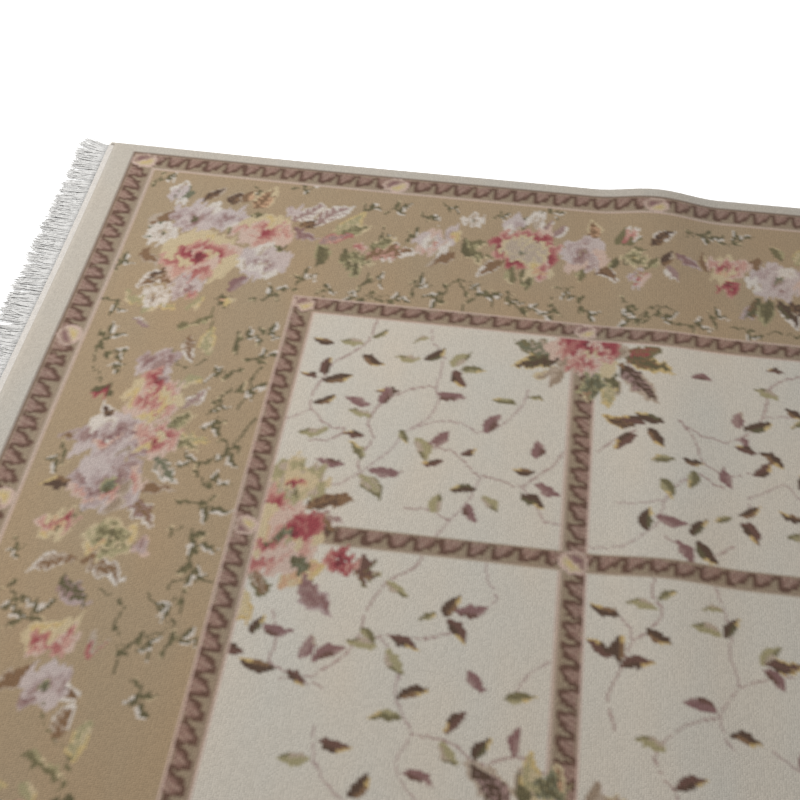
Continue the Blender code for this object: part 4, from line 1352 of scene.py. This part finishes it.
# The fringe
# The ends of the cotton warps, left free beyond the flat-woven band at both ends of the rug.
# They lie on the floor in loose tufts of a few plied yarns, untwisted and a little frayed.
TUFTS = 660
YARNS_IN_TUFT = 3
YARN_STEPS = 6
YARN_SIDES = 3
YARN_RADIUS = 0.0011
FRINGE_LENGTH = 0.062
FRINGE_MARGIN = 0.005
FRINGE_COTTON = (210, 209, 207)
TUFTS_IN_CLUMP = 3
TUFT_SCATTER = 0.0011
BAND_LEVEL = 0.0024
CORNER_SPLAY = 0.018
CORNER_REACH = 0.035
CLUMP_DRIFT = 0.0030
YARN_DRIFT = 0.0042
YARN_WAVES = (0.0008, 0.0030)
YARN_LEVELS = (0.0012, 0.0036)
TUCKED_UNDER = 0.002


def fringe(name, side, seed):
    """One end's fringe: every yarn a thin tube from under the band out over the floor."""
    chance = np.random.default_rng(seed)
    half_row = CLOTH_WIDTH / 2.0 - FRINGE_MARGIN
    count = TUFTS * YARNS_IN_TUFT
    tuft = np.repeat(np.arange(TUFTS), YARNS_IN_TUFT)
    root_y = -half_row + 2.0 * half_row * (tuft + 0.5) / TUFTS
    root_y = root_y + chance.uniform(-TUFT_SCATTER, TUFT_SCATTER, count)
    clump = tuft // TUFTS_IN_CLUMP
    clump_y = -half_row + 2.0 * half_row * (clump + 0.5) * TUFTS_IN_CLUMP / TUFTS
    slow = 0.004 * (0.6 * np.sin(21.0 * root_y + 0.8) + 0.4 * np.sin(47.0 * root_y))
    splay = np.sign(root_y) * CORNER_SPLAY * np.exp(-(half_row - np.abs(root_y)) / CORNER_REACH)
    drift = slow + splay + chance.normal(0.0, CLUMP_DRIFT, clump.max() + 1)[clump]
    drift = drift + chance.normal(0.0, YARN_DRIFT, count)
    gather = 0.45 * (clump_y - root_y)
    length = FRINGE_LENGTH * chance.uniform(0.80, 1.0, count) * chance.uniform(0.92, 1.0, TUFTS)[tuft]
    wave = chance.uniform(*YARN_WAVES, count)
    wave_phase = chance.uniform(0.0, 2.0 * np.pi, count)
    wave_count = chance.uniform(1.0, 2.2, count)
    level = chance.uniform(*YARN_LEVELS, count)
    t = np.linspace(0.0, 1.0, YARN_STEPS)[None, :]
    out = t * length[:, None]
    y = root_y[:, None] + (drift + gather)[:, None] * t ** 1.4
    y = y + wave[:, None] * t * np.sin(wave_phase[:, None] + 2.0 * np.pi * wave_count[:, None] * t)
    z = BAND_LEVEL + (level[:, None] - BAND_LEVEL) * ease(t * 3.0)
    z = np.maximum(z + 0.0008 * np.sin(wave_phase[:, None] * 2.0 + 6.0 * t) * t, YARN_RADIUS * 1.05)
    radius = YARN_RADIUS * (1.0 - 0.45 * t ** 3) * chance.uniform(0.85, 1.15, count)[:, None]
    edge = laid(np.full(root_y.shape, side * CLOTH_LENGTH / 2.0), root_y, 0.0)
    x = edge[:, 0][:, None] - side * TUCKED_UNDER + side * out
    points = np.zeros((count, YARN_STEPS, YARN_SIDES, 3))
    for k in range(YARN_SIDES):
        angle = 2.0 * np.pi * (k + 0.5) / YARN_SIDES
        points[:, :, k, 0] = x
        points[:, :, k, 1] = y + SHIFT_Y + radius * math.cos(angle)
        points[:, :, k, 2] = z + radius * math.sin(angle)
    first = np.arange(count)[:, None, None] * YARN_STEPS * YARN_SIDES
    step = np.arange(YARN_STEPS - 1)[None, :, None] * YARN_SIDES
    k = np.arange(YARN_SIDES)[None, None, :]
    a = first + step + k
    b = first + step + (k + 1) % YARN_SIDES
    quads = np.stack([a, b, b + YARN_SIDES, a + YARN_SIDES], -1).reshape(-1, 4)
    root = first[:, 0, :]
    tip = root + (YARN_STEPS - 1) * YARN_SIDES
    round_yarn = np.arange(YARN_SIDES)[None, :]
    caps = np.concatenate([tip + round_yarn, root + round_yarn[:, ::-1]])
    if side > 0.0:
        quads = quads[:, ::-1]
        caps = caps[:, ::-1]
    return shaped(name, points.reshape(-1, 3).tolist(), quads.tolist() + caps.tolist())


fringe_cotton = cotton_material("cotton yarn", FRINGE_COTTON, pitch=0.0012, depth=0.0003)
for name, node, side, seed in (
    ("fringe_yarns_left", "fringe_left", -1.0, 11),
    ("fringe_yarns_right", "fringe_right", 1.0, 12),
):
    yarns = fringe(name, side, seed)
    yarns.data.materials.append(fringe_cotton)
    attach(yarns, "root")
    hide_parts(node)

# The cloth is one sheet, and everything that is tied, overcast or left free on it goes with it
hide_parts("knotted_cloth")


# The floor, the light and the camera
# A plain near-white floor, a large soft light from the upper left and a weaker one from the
# right, and the camera where the photograph was taken from.
FLOOR_SIZE = 30.0
FLOOR_LEVEL = -0.0004
floor_mesh = bpy.data.meshes.new("floor")
corners = ((-1, -1), (1, -1), (1, 1), (-1, 1))
points = [(a * FLOOR_SIZE, b * FLOOR_SIZE, FLOOR_LEVEL) for a, b in corners]
floor_mesh.from_pydata(points, [], [(0, 1, 2, 3)])
floor = placed("floor", floor_mesh)
floor_paint = bpy.data.materials.new("pale floor")
floor_paint.use_nodes = True
paint_shader = floor_paint.node_tree.nodes["Principled BSDF"]
paint_shader.inputs["Base Color"].default_value = (0.93, 0.93, 0.93, 1.0)
paint_shader.inputs["Roughness"].default_value = 0.9
paint_shader.inputs["Emission Color"].default_value = (1.0, 1.0, 1.0, 1.0)
paint_shader.inputs["Emission Strength"].default_value = 0.25
floor_mesh.materials.append(floor_paint)

world = bpy.data.worlds.new("studio")
world.use_nodes = True
world.node_tree.nodes["Background"].inputs["Color"].default_value = (1.0, 1.0, 1.0, 1.0)
world.node_tree.nodes["Background"].inputs["Strength"].default_value = 0.36
bpy.context.scene.world = world


def area_light(name, place, aim, size, power, colour):
    """A large soft light at a place, turned towards a point."""
    lamp = bpy.data.lights.new(name, "AREA")
    lamp.shape = "RECTANGLE"
    lamp.size = size
    lamp.size_y = size
    lamp.energy = power
    lamp.color = colour
    item = placed(name, lamp)
    item.location = place
    direction = np.array(place) - np.array(aim)
    yaw = math.atan2(direction[1], direction[0])
    tilt = math.atan2(math.hypot(direction[0], direction[1]), direction[2])
    item.rotation_euler = (0.0, tilt, yaw)


area_light(
    "key", place=(-2.3, 0.9, 2.4), aim=(-0.9, 0.1, 0.0), size=2.0, power=98.0, colour=(1.0, 0.995, 0.985)
)
area_light(
    "fill", place=(2.8, -2.6, 3.2), aim=(0.2, 0.0, 0.0), size=3.0, power=8.0, colour=(1.0, 0.97, 0.93)
)

# The camera from the photograph: its focal length in pixels of an 800 pixel frame, its turn,
# tilt and roll in degrees, and its place in units of its own height over the pile
PHOTO_WIDTH = 800.0
FOCAL_PIXELS = 1562.64
CAMERA_HEIGHT = 1.66
CAMERA_ALONG = 0.47108
CAMERA_BACK = 1.43594
CAMERA_TURN = -5.155
CAMERA_TILT = 43.172
CAMERA_ROLL = -2.468
SENSOR = 36.0


def camera_axes():
    """The camera's right, up and back directions in the room."""
    turn, tilt, roll = (math.radians(v) for v in (CAMERA_TURN, CAMERA_TILT, CAMERA_ROLL))
    forward = np.array([math.sin(turn) * math.cos(tilt), math.cos(turn) * math.cos(tilt), -math.sin(tilt)])
    right = np.array([math.cos(turn), -math.sin(turn), 0.0])
    down = np.cross(forward, right)
    rolled_right = math.cos(roll) * right + math.sin(roll) * down
    rolled_down = math.cos(roll) * down - math.sin(roll) * right
    return rolled_right, -rolled_down, -forward


right, up, back = camera_axes()
eye = (
    CAMERA_HEIGHT * CAMERA_ALONG - CLOTH_LENGTH / 2.0 + SHIFT_X,
    CLOTH_WIDTH / 2.0 - CAMERA_HEIGHT * CAMERA_BACK + SHIFT_Y,
    CAMERA_HEIGHT + PILE_TOP,
)
lens = bpy.data.cameras.new("camera")
lens.sensor_width = SENSOR
lens.lens = FOCAL_PIXELS * SENSOR / PHOTO_WIDTH
lens.clip_start = 0.05
camera = placed("camera", lens)
camera.matrix_world = Matrix([
    (right[0], up[0], back[0], eye[0]),
    (right[1], up[1], back[1], eye[1]),
    (right[2], up[2], back[2], eye[2]),
    (0.0, 0.0, 0.0, 1.0),
])
bpy.context.scene.camera = camera
bpy.context.scene.view_settings.view_transform = "Standard"
bpy.context.scene.view_settings.look = "None"
